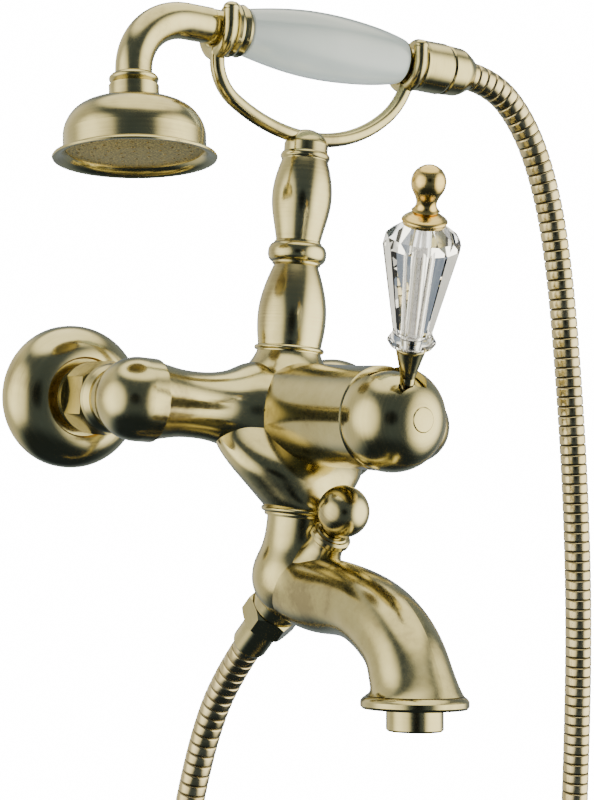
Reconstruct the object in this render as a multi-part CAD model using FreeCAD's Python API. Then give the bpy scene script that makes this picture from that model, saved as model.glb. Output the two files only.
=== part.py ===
import FreeCAD, Part
import math
import os
from FreeCAD import Vector as V

# Wall-mounted bath mixer with a telephone handset, in millimetres.
# Origin: midway between the two wall inlets, on the wall. +Z up, -Y towards
# the user, +X along the wall. A turned piece is drawn as a half outline of
# (radius, distance along its axis) and spun about that axis.

# Driving dimensions: wall connection
INLET_SPACING = 150.0      # wall inlets, centre to centre
STUD_R = 10.48             # half-inch pipe thread at the wall
STUD_LENGTH = 22.0
CONNECTOR_R = 13.2         # three-quarter-inch pipe thread at the mixer
CONNECTOR_OFFSET = 3.3     # eccentricity of each wall connector, turned upwards
CONNECTOR_BORE_R = 6.5
COLLAR_R = 15.0            # round middle of the connector
COLLAR_LENGTH = 12.0
CONNECTOR_FRONT = -40.0
ROSE_R = 33.7              # wall rose
ROSE_DEPTH = 19.0
ROSE_WALL = 1.4
NUT_ACROSS = 29.0          # union nut across flats
NUT_BACK = -24.0
NUT_FRONT = -52.5
SEAL_THICKNESS = 2.0

# Driving dimensions: mixer body
BODY_Y = -72.3             # axis of the two arms and of the column
BALL_R = 18.3              # round end of each arm
ARM_R = 14.75              # waist of each arm
CENTRE_R = 23.0            # swell where the arms meet
WATERWAY_R = 6.5
SPIGOT_R = 10.0            # tail that the union nut pulls onto the seal
HOUSING_R = 21.9           # barrel around the cartridge
HOUSING_FRONT = -149.0
NECK_Y = -94.2             # axis of the outlet neck under the body
NECK_R = 15.8
NECK_RING_R = 18.3
NECK_RING_Z = -38.2
NECK_RING_H = 4.2
OUTLET_BORE_R = 10.5

# Driving dimensions: cartridge and lever
CARTRIDGE_R = 17.4
CARTRIDGE_BACK = -114.0
CARTRIDGE_NOSE_R = 15.0
CARTRIDGE_WALL = 1.8
CARTRIDGE_FLOOR = 4.0
DISC_R = 11.2
DISC_T = 3.0
NUT_LENGTH = 4.3           # ring nut that holds the cartridge
BARREL_BORE_R = 19.5       # barrel in front of the cartridge
ROTOR_R = 12.5
PIVOT_Y = -154.3           # centre of the round cap and of the lever's tilt
CAP_R = 22.1
CAP_WALL = 2.1
CAP_REAR = 4.7             # rear edge of the cap, behind the pivot
SLOT_HALF = 9.6            # half width of the slot in the cap's top
SHIELD_WALL = 1.4          # curved shield that closes the slot from inside
ARM_LENGTH = 23.0          # spindle, from the pivot to the disc carrier
LEVER_TRAVEL = 20.0        # degrees from closed to fully open
LEVER_SWING = -17.0        # degrees to the left, as photographed
LEVER_LEAN = 23.0          # degrees towards the user
LEVER_FORWARD = 8.5        # lever axis ahead of the pivot
ROD_R = 2.5
FERRULE_TOP = 14.6         # lengths along the lever from the cap's surface
FOOT_R = 9.7               # crystal's foot
FOOT_TOP = 19.0
CRYSTAL_WAIST = 21.5
CRYSTAL_WAIST_R = 7.9
CRYSTAL_WIDE = 57.3
CRYSTAL_WIDE_R = 15.2
CRYSTAL_TOP = 65.4
CRYSTAL_TOP_R = 7.9
CRYSTAL_SIDES = 12
COLLAR_TOP = 70.0
FINIAL_R = 6.6
FINIAL_TOP = 88.4

# Driving dimensions: column and cradle
COLUMN_FOOT_Z = 32.0
COLUMN_FOOT_R = 15.6
BEAD_Z = 77.5
BEAD_R = 13.6
COLUMN_RING_Z = 122.7
COLUMN_RING_R = 11.4
COLUMN_TOP_Z = 127.0
COLUMN_BORE_R = 4.1
CRADLE_STEM_R = 10.2
BAR_R = 3.35               # round bar of the cradle
CRADLE_LOW_Z = 131.5
FORK_REACH = 8.5           # prongs above the handset's axis
LEFT_KNEE = FreeCAD.Vector(-40.0, -72.3, 141.0)
RIGHT_KNEE = FreeCAD.Vector(44.0, -72.3, 150.5)

# Driving dimensions: handset, along its own axis (0 above the column)
HANDSET_Z = 175.2
HANDSET_PITCH = 4.3        # degrees, hose end higher
HANDSET_ROLL = 5.0         # degrees, rose tipped towards the user
TUBE_R = 7.2
TUBE_WALL = 1.2
GRIP_START = -38.5
GRIP_END = 48.5
GRIP_END_R = 10.4
GRIP_MID_R = 15.3
FERRULE_R = 12.3
FERRULE_LENGTH = 9.0
FORK_GAP = 0.6             # along the handset, each side of a fork
REST_GAP = 0.35            # between the handset and the fork it lies in
TAIL_LENGTH = 18.0
TAIL_THREAD_R = 9.9        # half-inch pipe thread for the hose
GOOSENECK_R = 7.9
HEAD_X = -93.5             # axis of the shower head
BEND_R = 26.0
HEAD_COLLAR_TOP = 28.0     # depths below the handset's axis
HEAD_DOME_TOP = 39.0
HEAD_SHOULDER = 54.3
HEAD_RIM = 64.4
HEAD_R = 30.3
RIM_R = 35.0
HEAD_WALL = 1.6

# Driving dimensions: spout, aerator and diverter
SPOUT_TOP_Z = NECK_RING_Z - NECK_RING_H
BULB_R = 20.3
BULB_Y = -96.0
BULB_Z = -68.0
SPOUT_WALL = 2.4
FLANGE_R = 21.2
FLANGE_T = 5.0
OUTLET_Y = -185.0
OUTLET_Z = -108.6
OUTLET_TILT = 7.8          # degrees, outlet facing slightly forward
AERATOR_R = 11.2
AERATOR_LENGTH = 8.5
DIVERTER_LEAN = 36.0       # degrees from upright, towards the user
DIVERTER_Y = -117.0        # seat of the diverter's gland
DIVERTER_Z = -50.1
DIVERTER_COLLAR_R = 9.0
DIVERTER_BOSS_R = 7.8
KNOB_R = 11.2
KNOB_AHEAD = 16.0          # ball centre above the gland's seat
STEM_R = 2.5
DIVERTER_TRAVEL = 6.0

# Driving dimensions: hose
HOSE_R = 7.0
HOSE_GROOVE = 0.75         # depth of the groove between two ribs
HOSE_BORE_R = 4.2
HOSE_RIBS = 196
HOSE_NUT_ACROSS = 22.5
HOSE_NUT_START = 23.0      # along the outlet's axis from the bulb's centre
HOSE_NUT_LENGTH = 11.5
SLEEVE_R = 8.5
SLEEVE_LENGTH = 17.5
NIPPLE_LENGTH = 7.0        # threaded end of the shower outlet
HOSE_SEAL = 1.5            # washer inside the hose nut
HOSE_NUT_LIP = 1.5
HOSE_LEAD = 25.5           # first and last run of the route
HOSE_GRIP = 10.0           # length of hose held inside each end fitting
CONE_LENGTH = 15.0

# Named clearances
RUN = 0.05                 # radial, turning or sliding fit
CLEAR = 0.3                # between curved faces of different pieces

AXIS_Z = CONNECTOR_OFFSET
X, Y, Z = V(1, 0, 0), V(0, 1, 0), V(0, 0, 1)


def turned(outline, at=V(0, 0, 0), axis=Z):
    """Solid of revolution. outline: closed list of (r, h), ("curve", [(r, h), ...]),
    ("arc", three points), or ("level curve", ...), which starts and ends along the axis."""
    edges, last = [], None
    for item in outline:
        kind = item[0] if isinstance(item[0], str) else ""
        points = [V(r, 0, h) for r, h in (item[1] if kind else [item])]
        if last is not None and last.distanceToPoint(points[0]) > 1e-6:
            edges.append(Part.makeLine(last, points[0]))
        if kind == "arc":
            edges.append(Part.Arc(*points).toShape())
        elif kind:
            curve = Part.BSplineCurve()
            if kind == "level curve":
                way = V(0, 0, points[-1].z - points[0].z)
                curve.interpolate(points, InitialTangent=way, FinalTangent=way)
            else:
                curve.interpolate(points)
            edges.append(curve.toShape())
        last = points[-1]
    first = edges[0].Vertexes[0].Point
    if last.distanceToPoint(first) > 1e-6:
        edges.append(Part.makeLine(last, first))
    solid = Part.Face(Part.Wire(edges)).revolve(V(0, 0, 0), Z, 360)
    solid.Placement = FreeCAD.Placement(at, FreeCAD.Rotation(Z, axis))
    return Part.Solid(solid)


def rod(r, at, axis, length):
    return Part.makeCylinder(r, length, at, axis)


def tube(r, bore, at, axis, length):
    return rod(r, at, axis, length).cut(rod(bore, at, axis, length))


def hexagon(across, at, axis, length, turn=0.0):
    corner = across / math.sqrt(3)
    points = [V(corner * math.cos(math.radians(60 * i + turn)),
                corner * math.sin(math.radians(60 * i + turn)), 0) for i in range(7)]
    prism = Part.Face(Part.makePolygon(points)).extrude(V(0, 0, length))
    prism.Placement = FreeCAD.Placement(at, FreeCAD.Rotation(Z, axis))
    return prism


def ball(r, at):
    return Part.makeSphere(r, at)


def ring(r, section, at, axis):
    return Part.makeTorus(r, section, at, axis)


def fused(first, *others):
    return first.fuse(list(others)).removeSplitter()


# Frames of the moving groups
PIVOT = V(0, PIVOT_Y, AXIS_Z)
SWUNG = FreeCAD.Placement(PIVOT, FreeCAD.Rotation(Y, LEVER_SWING))
NUT_SEAT = 15.5            # step of the cartridge, behind the pivot
ROTOR_BACK = 20.2
PITCHED = FreeCAD.Placement(V(0, BODY_Y, HANDSET_Z), FreeCAD.Rotation(Y, -HANDSET_PITCH))
HELD = PITCHED.multiply(FreeCAD.Placement(V(0, 0, 0), FreeCAD.Rotation(X, -HANDSET_ROLL)))


def placed(shape, placement):
    shape.Placement = placement.multiply(shape.Placement)
    return shape


# Wall connection

def connector(side):
    """Eccentric wall connector: thread into the wall, collar, thread for the union nut."""
    at = V(side * INLET_SPACING / 2, 0, 0)
    raised = at + V(0, 0, CONNECTOR_OFFSET)
    stud = rod(STUD_R, at + V(0, STUD_LENGTH, 0), -Y, STUD_LENGTH + 2)
    middle = rod(COLLAR_R, raised, -Y, COLLAR_LENGTH)
    front = rod(CONNECTOR_R, raised + V(0, -COLLAR_LENGTH + 1, 0), -Y,
                -CONNECTOR_FRONT - COLLAR_LENGTH + 1)
    solid = fused(stud, middle, front)
    solid = solid.cut(rod(CONNECTOR_BORE_R, at + V(0, STUD_LENGTH, 0), -Y, STUD_LENGTH + 5))
    return solid.cut(rod(CONNECTOR_BORE_R, raised, -Y, -CONNECTOR_FRONT))


def wall_rose(side):
    """Domed cover plate, open behind, seated on the connector's collar."""
    at = V(side * INLET_SPACING / 2, 0, CONNECTOR_OFFSET)
    hole = CONNECTOR_R + CLEAR
    lip = hole + 4.5
    w = ROSE_WALL
    outline = [
        (ROSE_R - w, 0), (ROSE_R, 0), (ROSE_R, 2.5),
        ("curve", [(ROSE_R, 2.5), (ROSE_R - 1.3, 8.5), (ROSE_R - 5, 13.8), (ROSE_R - 10, 17.3),
                   (lip + 0.8, ROSE_DEPTH)]),
        (lip, ROSE_DEPTH - 1.8), (hole, ROSE_DEPTH - 1.8), (hole, ROSE_DEPTH - 1.8 - w),
        (lip - 0.4, ROSE_DEPTH - 1.8 - w),
        ("curve", [(lip + 0.6, ROSE_DEPTH - w), (ROSE_R - 10.6, 17.3 - w), (ROSE_R - 6, 13 - w + 0.4),
                   (ROSE_R - w - 1.2, 8), (ROSE_R - w, 2.5)]),
    ]
    return turned(outline, at, -Y)


def union_nut(side):
    at = V(side * INLET_SPACING / 2, 0, AXIS_Z)
    flange = NUT_ACROSS / 2 + 2.2
    neck = SPIGOT_R + RUN + 0.4
    hex_back, hex_front = NUT_BACK - 4.5, NUT_FRONT + 6.5
    solid = fused(
        turned([(0, 0), (flange - 0.8, 0), (flange, 0.8), (flange, 4.5), (0, 4.5)],
               at + V(0, NUT_BACK, 0), -Y),
        hexagon(NUT_ACROSS, at + V(0, hex_back, 0), -Y, hex_back - hex_front, 30),
        turned([(0, 0), (NUT_ACROSS / 2 + 0.6, 0), (NUT_ACROSS / 2 + 1.1, 1.6),
                (NUT_ACROSS / 2 + 0.6, 3.2), (NUT_ACROSS / 2 - 0.8, 6.5), (0, 6.5)],
               at + V(0, hex_front, 0), -Y),
    )
    solid = solid.cut(rod(CONNECTOR_R + RUN, at + V(0, NUT_BACK, 0), -Y, NUT_BACK - NUT_FRONT - 3.5))
    return solid.cut(rod(neck, at, -Y, -NUT_FRONT))


def inlet_seal(side):
    at = V(side * INLET_SPACING / 2, CONNECTOR_FRONT, AXIS_Z)
    washer = tube(CONNECTOR_R - 0.2, CONNECTOR_BORE_R, at, -Y, SEAL_THICKNESS)
    mesh = rod(CONNECTOR_BORE_R + 0.8, at + V(0, -SEAL_THICKNESS / 2 + 0.2, 0), -Y, 0.4)
    for i in range(-2, 3):
        for k in range(-2, 3):
            if i * i + k * k < 7:
                mesh = mesh.cut(rod(0.8, at + V(i * 2.2, 0, k * 2.2), -Y, SEAL_THICKNESS))
    return washer.fuse(mesh)


# Mixer body

def body_arms():
    """Both arms with their ball ends and the swell between them, spun about X."""
    half = INLET_SPACING / 2
    tip = BALL_R * math.sqrt(0.5)
    right = [(BALL_R, half), (BALL_R * 0.973, half - 6.5), (BALL_R * 0.9, half - 11.5),
             (ARM_R + 0.35, half - 19.5), (ARM_R, half - 28.0), (ARM_R + 1.1, half - 39.0),
             (ARM_R + 3.4, half - 46.5), (ARM_R + 6.6, half - 53.5), (CENTRE_R - 0.5, half - 62.0),
             (CENTRE_R, 0)]
    left = [(r, -h) for r, h in reversed(right[:-1])]
    outline = [("arc", [(0, half + BALL_R), (tip, half + tip), (BALL_R, half)]),
               ("level curve", right + left),
               ("arc", [(BALL_R, -half), (tip, -half - tip), (0, -half - BALL_R)])]
    return turned(outline, V(0, BODY_Y, AXIS_Z), X)


def ellipse_at(y, z, rx, ry):
    return Part.Wire(Part.Ellipse(V(0, y, z), rx + 0.01, ry).toShape())


def mixer_body():
    """Cast body: two arms with ball ends, cartridge barrel, column foot, outlet funnel."""
    half = INLET_SPACING / 2
    centre = V(0, BODY_Y, AXIS_Z)
    solid = body_arms()
    for side in (-1, 1):
        end = centre + V(side * half, 0, 0)
        back = CONNECTOR_FRONT - SEAL_THICKNESS
        lip = SPIGOT_R + 2.6
        spigot = turned([(0, 0), (lip, 0), (lip, 2.4), (SPIGOT_R, 2.4), (SPIGOT_R, back - BODY_Y),
                         (0, back - BODY_Y)], V(end.x, back, AXIS_Z), -Y)
        collar = turned([(0, 0), (SPIGOT_R + 2.5, 0), (SPIGOT_R + 3.2, 0.8), (SPIGOT_R + 3.2, 9.0), (0, 9.0)],
                        V(end.x, NUT_FRONT - CLEAR, AXIS_Z), -Y)
        solid = solid.fuse([spigot, collar])
    barrel = turned([(0, 0), (HOUSING_R + 1.4, 0), (HOUSING_R + 1.4, 14),
                     ("curve", [(HOUSING_R + 1.4, 14), (HOUSING_R + 1.0, 28), (HOUSING_R + 0.3, 46),
                                (HOUSING_R, 60)]),
                     (HOUSING_R, BODY_Y - HOUSING_FRONT - 0.5),
                     (HOUSING_R - 0.5, BODY_Y - HOUSING_FRONT), (0, BODY_Y - HOUSING_FRONT)],
                    centre, -Y)
    top = COLUMN_FOOT_R - 0.7
    foot = turned([(0, -5), (22.8, -5), (23.2, 4.0),
                   ("curve", [(23.2, 4.0), (23.0, 14.0), (21.3, 20.5), (18.1, 25.4), (top + 0.8, 29.4),
                              (top, COLUMN_FOOT_Z - 0.5)]),
                   (top, COLUMN_FOOT_Z), (0, COLUMN_FOOT_Z)], V(0, BODY_Y, 0), Z)
    funnel = Part.makeLoft([
        ellipse_at(BODY_Y - 1, AXIS_Z + 4, 34, 21.0),
        ellipse_at(BODY_Y - 5, -9, 37, 22.3),
        ellipse_at(BODY_Y - 11.7, -17.7, 35, 22.3),
        ellipse_at(NECK_Y + 6.0, -23.9, 31, 21.0),
        ellipse_at(NECK_Y + 3.2, -30, 25.5, 19.3),
        ellipse_at(NECK_Y + 0.6, NECK_RING_Z + 2.2, 19.8, 18.2),
        ellipse_at(NECK_Y, NECK_RING_Z, NECK_RING_R - 0.8, NECK_RING_R - 0.8),
    ], True, False)
    solid = solid.fuse([barrel, foot, funnel])
    # waterways
    for side in (-1, 1):
        end = centre + V(side * half, 0, 0)
        solid = solid.cut(rod(WATERWAY_R, end, Y, -BODY_Y))
        solid = solid.cut(rod(WATERWAY_R, end, V(-side, 0, 0), half - 8))
        solid = solid.cut(rod(3.6, V(side * 9, BODY_Y, AXIS_Z + 6), -Y, BODY_Y - CARTRIDGE_BACK + 1))
    seat = V(0, CARTRIDGE_BACK, AXIS_Z)
    solid = solid.cut(rod(CARTRIDGE_R + RUN, seat, -Y, CARTRIDGE_BACK - HOUSING_FRONT + 1))
    nut_seat = PIVOT + V(0, NUT_SEAT, 0)
    solid = solid.cut(rod(BARREL_BORE_R + RUN, nut_seat, -Y, 40))
    solid = solid.cut(rod(4.2, V(0, CARTRIDGE_BACK - 1, AXIS_Z - 7.5), Y, NECK_Y - CARTRIDGE_BACK))
    solid = solid.cut(rod(OUTLET_BORE_R, V(0, NECK_Y, -60), Z, 60 + AXIS_Z - 8))
    # thread for the column's stud
    solid = solid.cut(rod(COLUMN_BORE_R, V(0, BODY_Y, COLUMN_FOOT_Z), -Z, 9))
    return solid.removeSplitter()


# Cartridge. Distances along Y are from the pivot, positive towards the wall.

PIVOT_DEPTH = CARTRIDGE_BACK - PIVOT_Y      # cartridge's back
PORTS = ((-9, 6, 3.4), (9, 6, 3.4), (0, -7.5, 3.8))


def cartridge_body():
    """Shell with a stepped front; the ring nut bears on the step."""
    nose = NUT_SEAT - NUT_LENGTH + 0.1
    lip = ROTOR_BACK - 2.2
    bore = CARTRIDGE_R - CARTRIDGE_WALL
    outline = [(0, PIVOT_DEPTH), (CARTRIDGE_R - 0.5, PIVOT_DEPTH), (CARTRIDGE_R, PIVOT_DEPTH - 0.5),
               (CARTRIDGE_R, NUT_SEAT), (CARTRIDGE_NOSE_R, NUT_SEAT), (CARTRIDGE_NOSE_R, nose),
               (ROTOR_R + RUN, nose), (ROTOR_R + RUN, lip), (bore, lip),
               (bore, PIVOT_DEPTH - CARTRIDGE_FLOOR),
               (0, PIVOT_DEPTH - CARTRIDGE_FLOOR)]
    solid = turned(outline, PIVOT, Y)
    for x, z, r in PORTS:
        solid = solid.cut(rod(r, V(x, CARTRIDGE_BACK + 1, AXIS_Z + z), -Y, 6))
    return solid


def cartridge_seals():
    rings = [ring(r - 0.6, 0.6, V(x, CARTRIDGE_BACK - CARTRIDGE_FLOOR - 0.6, AXIS_Z + z), Y)
             for x, z, r in PORTS]
    return Part.makeCompound(rings)


FIXED_BACK = PIVOT_DEPTH - CARTRIDGE_FLOOR - 1.2
DISC_FACE = FIXED_BACK - DISC_T              # sealing face between the two discs
DISC_LOW = ARM_LENGTH * math.sin(math.radians(LEVER_TRAVEL)) / 2


def fixed_disc():
    at = PIVOT + V(0, FIXED_BACK, 0)
    solid = rod(CARTRIDGE_R - CARTRIDGE_WALL - 0.1, at, -Y, DISC_T)
    for x, z, r in PORTS:
        solid = solid.cut(rod(r - 1.2, at + V(x, 0.5, z), -Y, DISC_T + 1))
    return solid


def moving_disc():
    """Sliding ceramic disc, high in its travel when closed."""
    disc = rod(DISC_R, V(0, DISC_FACE - 0.02, DISC_LOW), -Y, DISC_T)
    pocket = rod(5.4, V(0, DISC_FACE + 0.5, DISC_LOW + 1.0), -Y, 2.0)
    return placed(disc.cut(pocket), SWUNG)


def disc_carrier():
    """Driver that the spindle's ball moves, glued to the moving disc."""
    base = DISC_FACE - 0.02 - DISC_T - 0.02
    block = rod(DISC_R - 0.5, V(0, base, DISC_LOW), -Y, base - ROTOR_BACK - 0.7)
    socket = Part.makeBox(7.4, 30, 7.4, V(-3.7, ARM_LENGTH + 4.0 - 30, -3.7))
    return placed(block.cut(socket), SWUNG)


def rotor():
    """Turning head of the cartridge, slotted for the tilting spindle."""
    head = turned([(0, ROTOR_BACK), (CARTRIDGE_R - CARTRIDGE_WALL - CLEAR, ROTOR_BACK),
                   (CARTRIDGE_R - CARTRIDGE_WALL - CLEAR, ROTOR_BACK - 2.15), (ROTOR_R, ROTOR_BACK - 2.15),
                   (ROTOR_R, -0.5), (ROTOR_R - 1.5, -1.5), (ROTOR_R - 2.0, -5.0), (0, -5.0)], V(0, 0, 0), Y)
    cup = rod(ROTOR_R - 0.9, V(0, ROTOR_BACK + 1, 0), -Y, 6.0)
    slot = Part.makeBox(8.4, 60, 18.0, V(-4.2, -30, -9.0))
    pin = rod(1.5 + RUN, V(-20, 0, 0), X, 40)
    return placed(head.cut([cup, slot, pin]), SWUNG)


def pivot_pin():
    return placed(rod(1.5, V(-ROTOR_R + 0.6, 0, 0), X, 2 * ROTOR_R - 1.2), SWUNG)


def spindle():
    """Square stem that the hub clamps, with a round tail in the disc carrier."""
    stem = Part.makeBox(7.8, 16.0, 7.8, V(-3.9, -16.0, -3.9))
    cheek = rod(5.2, V(-3.9, 0, 0), X, 7.8)
    tail = rod(2.2, V(0, 0, 0), Y, ARM_LENGTH)
    solid = fused(stem, cheek, tail, ball(3.3, V(0, ARM_LENGTH, 0)))
    return placed(solid.cut(rod(1.5 + RUN, V(-20, 0, 0), X, 40)), SWUNG)


def cartridge_nut():
    """Threaded ring that holds the cartridge in the barrel, with six notches."""
    outline = [(CARTRIDGE_NOSE_R + CLEAR, NUT_SEAT), (BARREL_BORE_R, NUT_SEAT),
               (BARREL_BORE_R, NUT_SEAT - NUT_LENGTH), (CARTRIDGE_NOSE_R + CLEAR, NUT_SEAT - NUT_LENGTH)]
    solid = turned(outline, PIVOT, Y)
    for i in range(6):
        notch = Part.makeBox(3.2, 1.8, 8, V(-1.6, NUT_SEAT - NUT_LENGTH - 0.1, CARTRIDGE_NOSE_R - 4))
        notch.Placement = FreeCAD.Placement(PIVOT, FreeCAD.Rotation(Y, 60 * i + 30))
        solid = solid.cut(notch)
    return solid


# Cap and lever

def lever_axis(distance=0.0):
    """Point on the lever's axis at a distance from the pivot's level, swung frame."""
    a = math.radians(LEVER_LEAN)
    return V(0, -LEVER_FORWARD - distance * math.sin(a), distance * math.cos(a))


def lever_meets(r):
    """Distance along the lever's axis at which it leaves a ball about the pivot."""
    a = math.radians(LEVER_LEAN)
    return math.sqrt(r ** 2 - (LEVER_FORWARD * math.cos(a)) ** 2) - LEVER_FORWARD * math.sin(a)


LEVER_ROOT = lever_meets(CAP_R)


def slot_box(half, low, front):
    """Straight-sided cutter along Y with a rounded front corner, above low."""
    corner = 3.0
    y = -front
    points = [V(-half, 30, low), V(-half, y + corner, low), V(-half + corner, y, low),
              V(half - corner, y, low), V(half, y + corner, low), V(half, 30, low)]
    return Part.Face(Part.makePolygon(points + [points[0]])).extrude(V(0, 0, 60))


SLOT_FRONT = LEVER_FORWARD + LEVER_ROOT * math.sin(math.radians(LEVER_LEAN)) + 2.9


def lever_cap():
    """Round cap fixed on the rotor; the lever moves in the slot in its top."""
    rear = -CAP_REAR
    inner = CAP_R - CAP_WALL
    outline = [(0, rear), (CAP_R - 0.5, rear),
               ("curve", [(CAP_R - 0.5, rear), (CAP_R - 0.1, rear + 2.7), (CAP_R, 2.5), (CAP_R - 0.9, 7.6),
                          (CAP_R - 3.4, 13.0), (CAP_R - 7.6, 17.3), (CAP_R - 12.8, 20.3),
                          (CAP_R - 17.5, 21.7),
                          (0, CAP_R)])]
    solid = turned(outline, V(0, 0, 0), -Y)
    solid = solid.cut(ball(inner, V(0, 0, 0)))
    solid = solid.cut(rod(inner * 0.975, V(0, 0, 0), Y, 20))
    flange = tube(inner * 0.975 + 0.4, ROTOR_R + RUN, V(0, CAP_REAR, 0), -Y, 3.6)
    solid = solid.fuse(flange)
    solid = solid.cut(slot_box(SLOT_HALF, 3.0, SLOT_FRONT))
    solid = solid.cut(slot_box(SLOT_HALF + 2.0, 3.0, 3.0).common(ball(inner, V(0, 0, 0))))
    solid = solid.cut(rod(5.2, V(0, -CAP_R + 1.9, 0), -Y, 5))
    solid = solid.cut(rod(1.25, V(0, CAP_REAR - 1.8, -10), -Z, 20))
    return placed(solid, SWUNG)


def grub_screw():
    """Screw from below that holds the cap on the rotor."""
    low = -ROTOR_R - RUN
    solid = rod(1.2, V(0, CAP_REAR - 1.8, low - 0.02), -Z, 8.0)
    return placed(solid.cut(hexagon(1.4, V(0, CAP_REAR - 1.8, low - 5.5), -Z, 5)), SWUNG)


def index_button():
    """Plain round plug in the cap's front."""
    depth = CAP_R - 1.9
    return placed(turned([(0, depth + 0.02), (5.15, depth + 0.02), (5.15, CAP_R - 0.55), (4.8, CAP_R - 0.15),
                          ("curve", [(4.8, CAP_R - 0.15), (2.6, CAP_R + 0.15), (0, CAP_R + 0.25)])],
                         V(0, 0, 0), -Y), SWUNG)


SHIELD_R = CAP_R - CAP_WALL - 0.4


def lever_hub():
    """Clamp on the spindle, with an arm up to the curved shield that carries the lever."""
    shell = ball(SHIELD_R, V(0, 0, 0)).cut(ball(SHIELD_R - SHIELD_WALL, V(0, 0, 0)))
    behind = math.degrees(math.asin(CAP_REAR / SHIELD_R)) + 1.0
    ahead = math.degrees(math.asin(SLOT_FRONT / CAP_R)) + LEVER_TRAVEL + 3.0
    sector = [V(0, 0, 0)] + [V(0, -60 * math.sin(math.radians(t)), 60 * math.cos(math.radians(t)))
                             for t in (-behind, (ahead - behind) / 2, ahead)]
    wedge = Part.Face(Part.makePolygon(sector + [sector[0]])).extrude(V(2 * SLOT_HALF + 2.6, 0, 0))
    wedge.translate(V(-SLOT_HALF - 1.3, 0, 0))
    shell = shell.common(wedge)
    clamp = rod(6.4, V(0, -8.6, 0), -Y, 8.4)
    side = [V(-3.0, y, z) for y, z in ((-9.2, 3), (-16.4, 3), (-14.6, 10.5), (-11.5, 14.6), (-4.2, 17.9),
                                       (-3.6, 14.6), (-7.6, 11.6))]
    web = Part.Face(Part.makePolygon(side + [side[0]])).extrude(V(6.0, 0, 0))
    up = (lever_axis(1) - lever_axis(0)).normalize()
    seat = lever_meets(SHIELD_R)
    boss = rod(4.3, lever_axis(seat - 4.0), up, 9.0).common(ball(SHIELD_R, V(0, 0, 0)))
    solid = fused(shell, clamp, web, boss)
    solid = solid.cut(Part.makeBox(7.9, 9.0, 7.9, V(-3.95, -16.05, -3.95)))
    solid = solid.cut(rod(ROD_R + RUN, lever_axis(LEVER_ROOT - 6.1), up, 12))
    return placed(solid, SWUNG)


def lever_piece(outline):
    """Turned piece on the lever's axis; heights run from the cap's surface."""
    return placed(turned(outline, lever_axis(LEVER_ROOT), lever_axis(1) - lever_axis(0)), SWUNG)


def lever_rod():
    return lever_piece([(0, -6.0), (ROD_R, -6.0), (ROD_R, COLLAR_TOP + 9), (0, COLLAR_TOP + 9)])


def lever_ferrule():
    bore = ROD_R + RUN
    return lever_piece([(bore, -1.2), (3.1, -1.2), (3.1, 1.6), (3.7, 4.6), (6.0, FERRULE_TOP - 1.2),
                        (6.4, FERRULE_TOP - 0.5), (6.1, FERRULE_TOP), (bore, FERRULE_TOP)])


def crystal_cup():
    """Thin metal dish under the crystal's foot."""
    bore = ROD_R + RUN
    low = FERRULE_TOP + 0.02
    return lever_piece([(bore, low), (6.4, low), (8.6, low + 1.0), (8.6, low + 1.4), (bore, low + 1.4)])


def crystal():
    """Faceted handle: a round foot, twelve long tapering facets and a cut shoulder."""
    low = FERRULE_TOP + 1.45
    bore = ROD_R + CLEAR
    n = CRYSTAL_SIDES

    def level(r, h, turn=0.0):
        step = 2 * math.pi / n
        return [V(r * math.cos(step * (i + turn)), r * math.sin(step * (i + turn)), h)
                for i in range(n)]

    def facet(*points):
        return Part.Face(Part.makePolygon(list(points) + [points[0]]))

    waist = level(CRYSTAL_WAIST_R, CRYSTAL_WAIST)
    wide = level(CRYSTAL_WIDE_R, CRYSTAL_WIDE)
    brow = level(CRYSTAL_WIDE_R * 0.93, CRYSTAL_WIDE + 3.6, 0.5)
    top = level(CRYSTAL_TOP_R, CRYSTAL_TOP, 0.5)
    faces = [facet(*waist), facet(*top)]
    for i in range(n):
        k = (i + 1) % n
        faces.append(facet(waist[i], waist[k], wide[k], wide[i]))
        faces.append(facet(wide[i], wide[k], brow[i]))
        faces.append(facet(brow[i], wide[k], brow[k]))
        faces.append(facet(brow[i], brow[k], top[k], top[i]))
    stone = Part.Solid(Part.makeShell(faces))
    foot = turned([(0, low), (FOOT_R - 0.9, low), (FOOT_R, low + 1.3),
                   ("curve", [(FOOT_R, low + 1.3), (FOOT_R - 0.8, low + 2.6),
                              (CRYSTAL_WAIST_R + 0.2, FOOT_TOP + 1.2),
                              (CRYSTAL_WAIST_R - 0.1, CRYSTAL_WAIST)]),
                   (CRYSTAL_WAIST_R - 0.3, CRYSTAL_WAIST + 1.0), (0, CRYSTAL_WAIST + 1.0)])
    solid = stone.fuse(foot)
    solid = solid.cut(rod(bore, V(0, 0, low - 1), Z, CRYSTAL_TOP))
    solid.Placement = FreeCAD.Placement(lever_axis(LEVER_ROOT), FreeCAD.Rotation(X, LEVER_LEAN))
    return placed(solid, SWUNG)


def gold_collar():
    bore = ROD_R + RUN
    low = CRYSTAL_TOP + 0.02
    return lever_piece([(bore, low), (CRYSTAL_TOP_R + 0.3, low), (CRYSTAL_TOP_R + 0.5, low + 1.0),
                        ("curve", [(CRYSTAL_TOP_R + 0.5, low + 1.0), (CRYSTAL_TOP_R - 0.6, low + 3.0),
                                   (CRYSTAL_TOP_R - 3.0, low + 4.6), (5.0, COLLAR_TOP)]),
                        (bore, COLLAR_TOP)])


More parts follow.
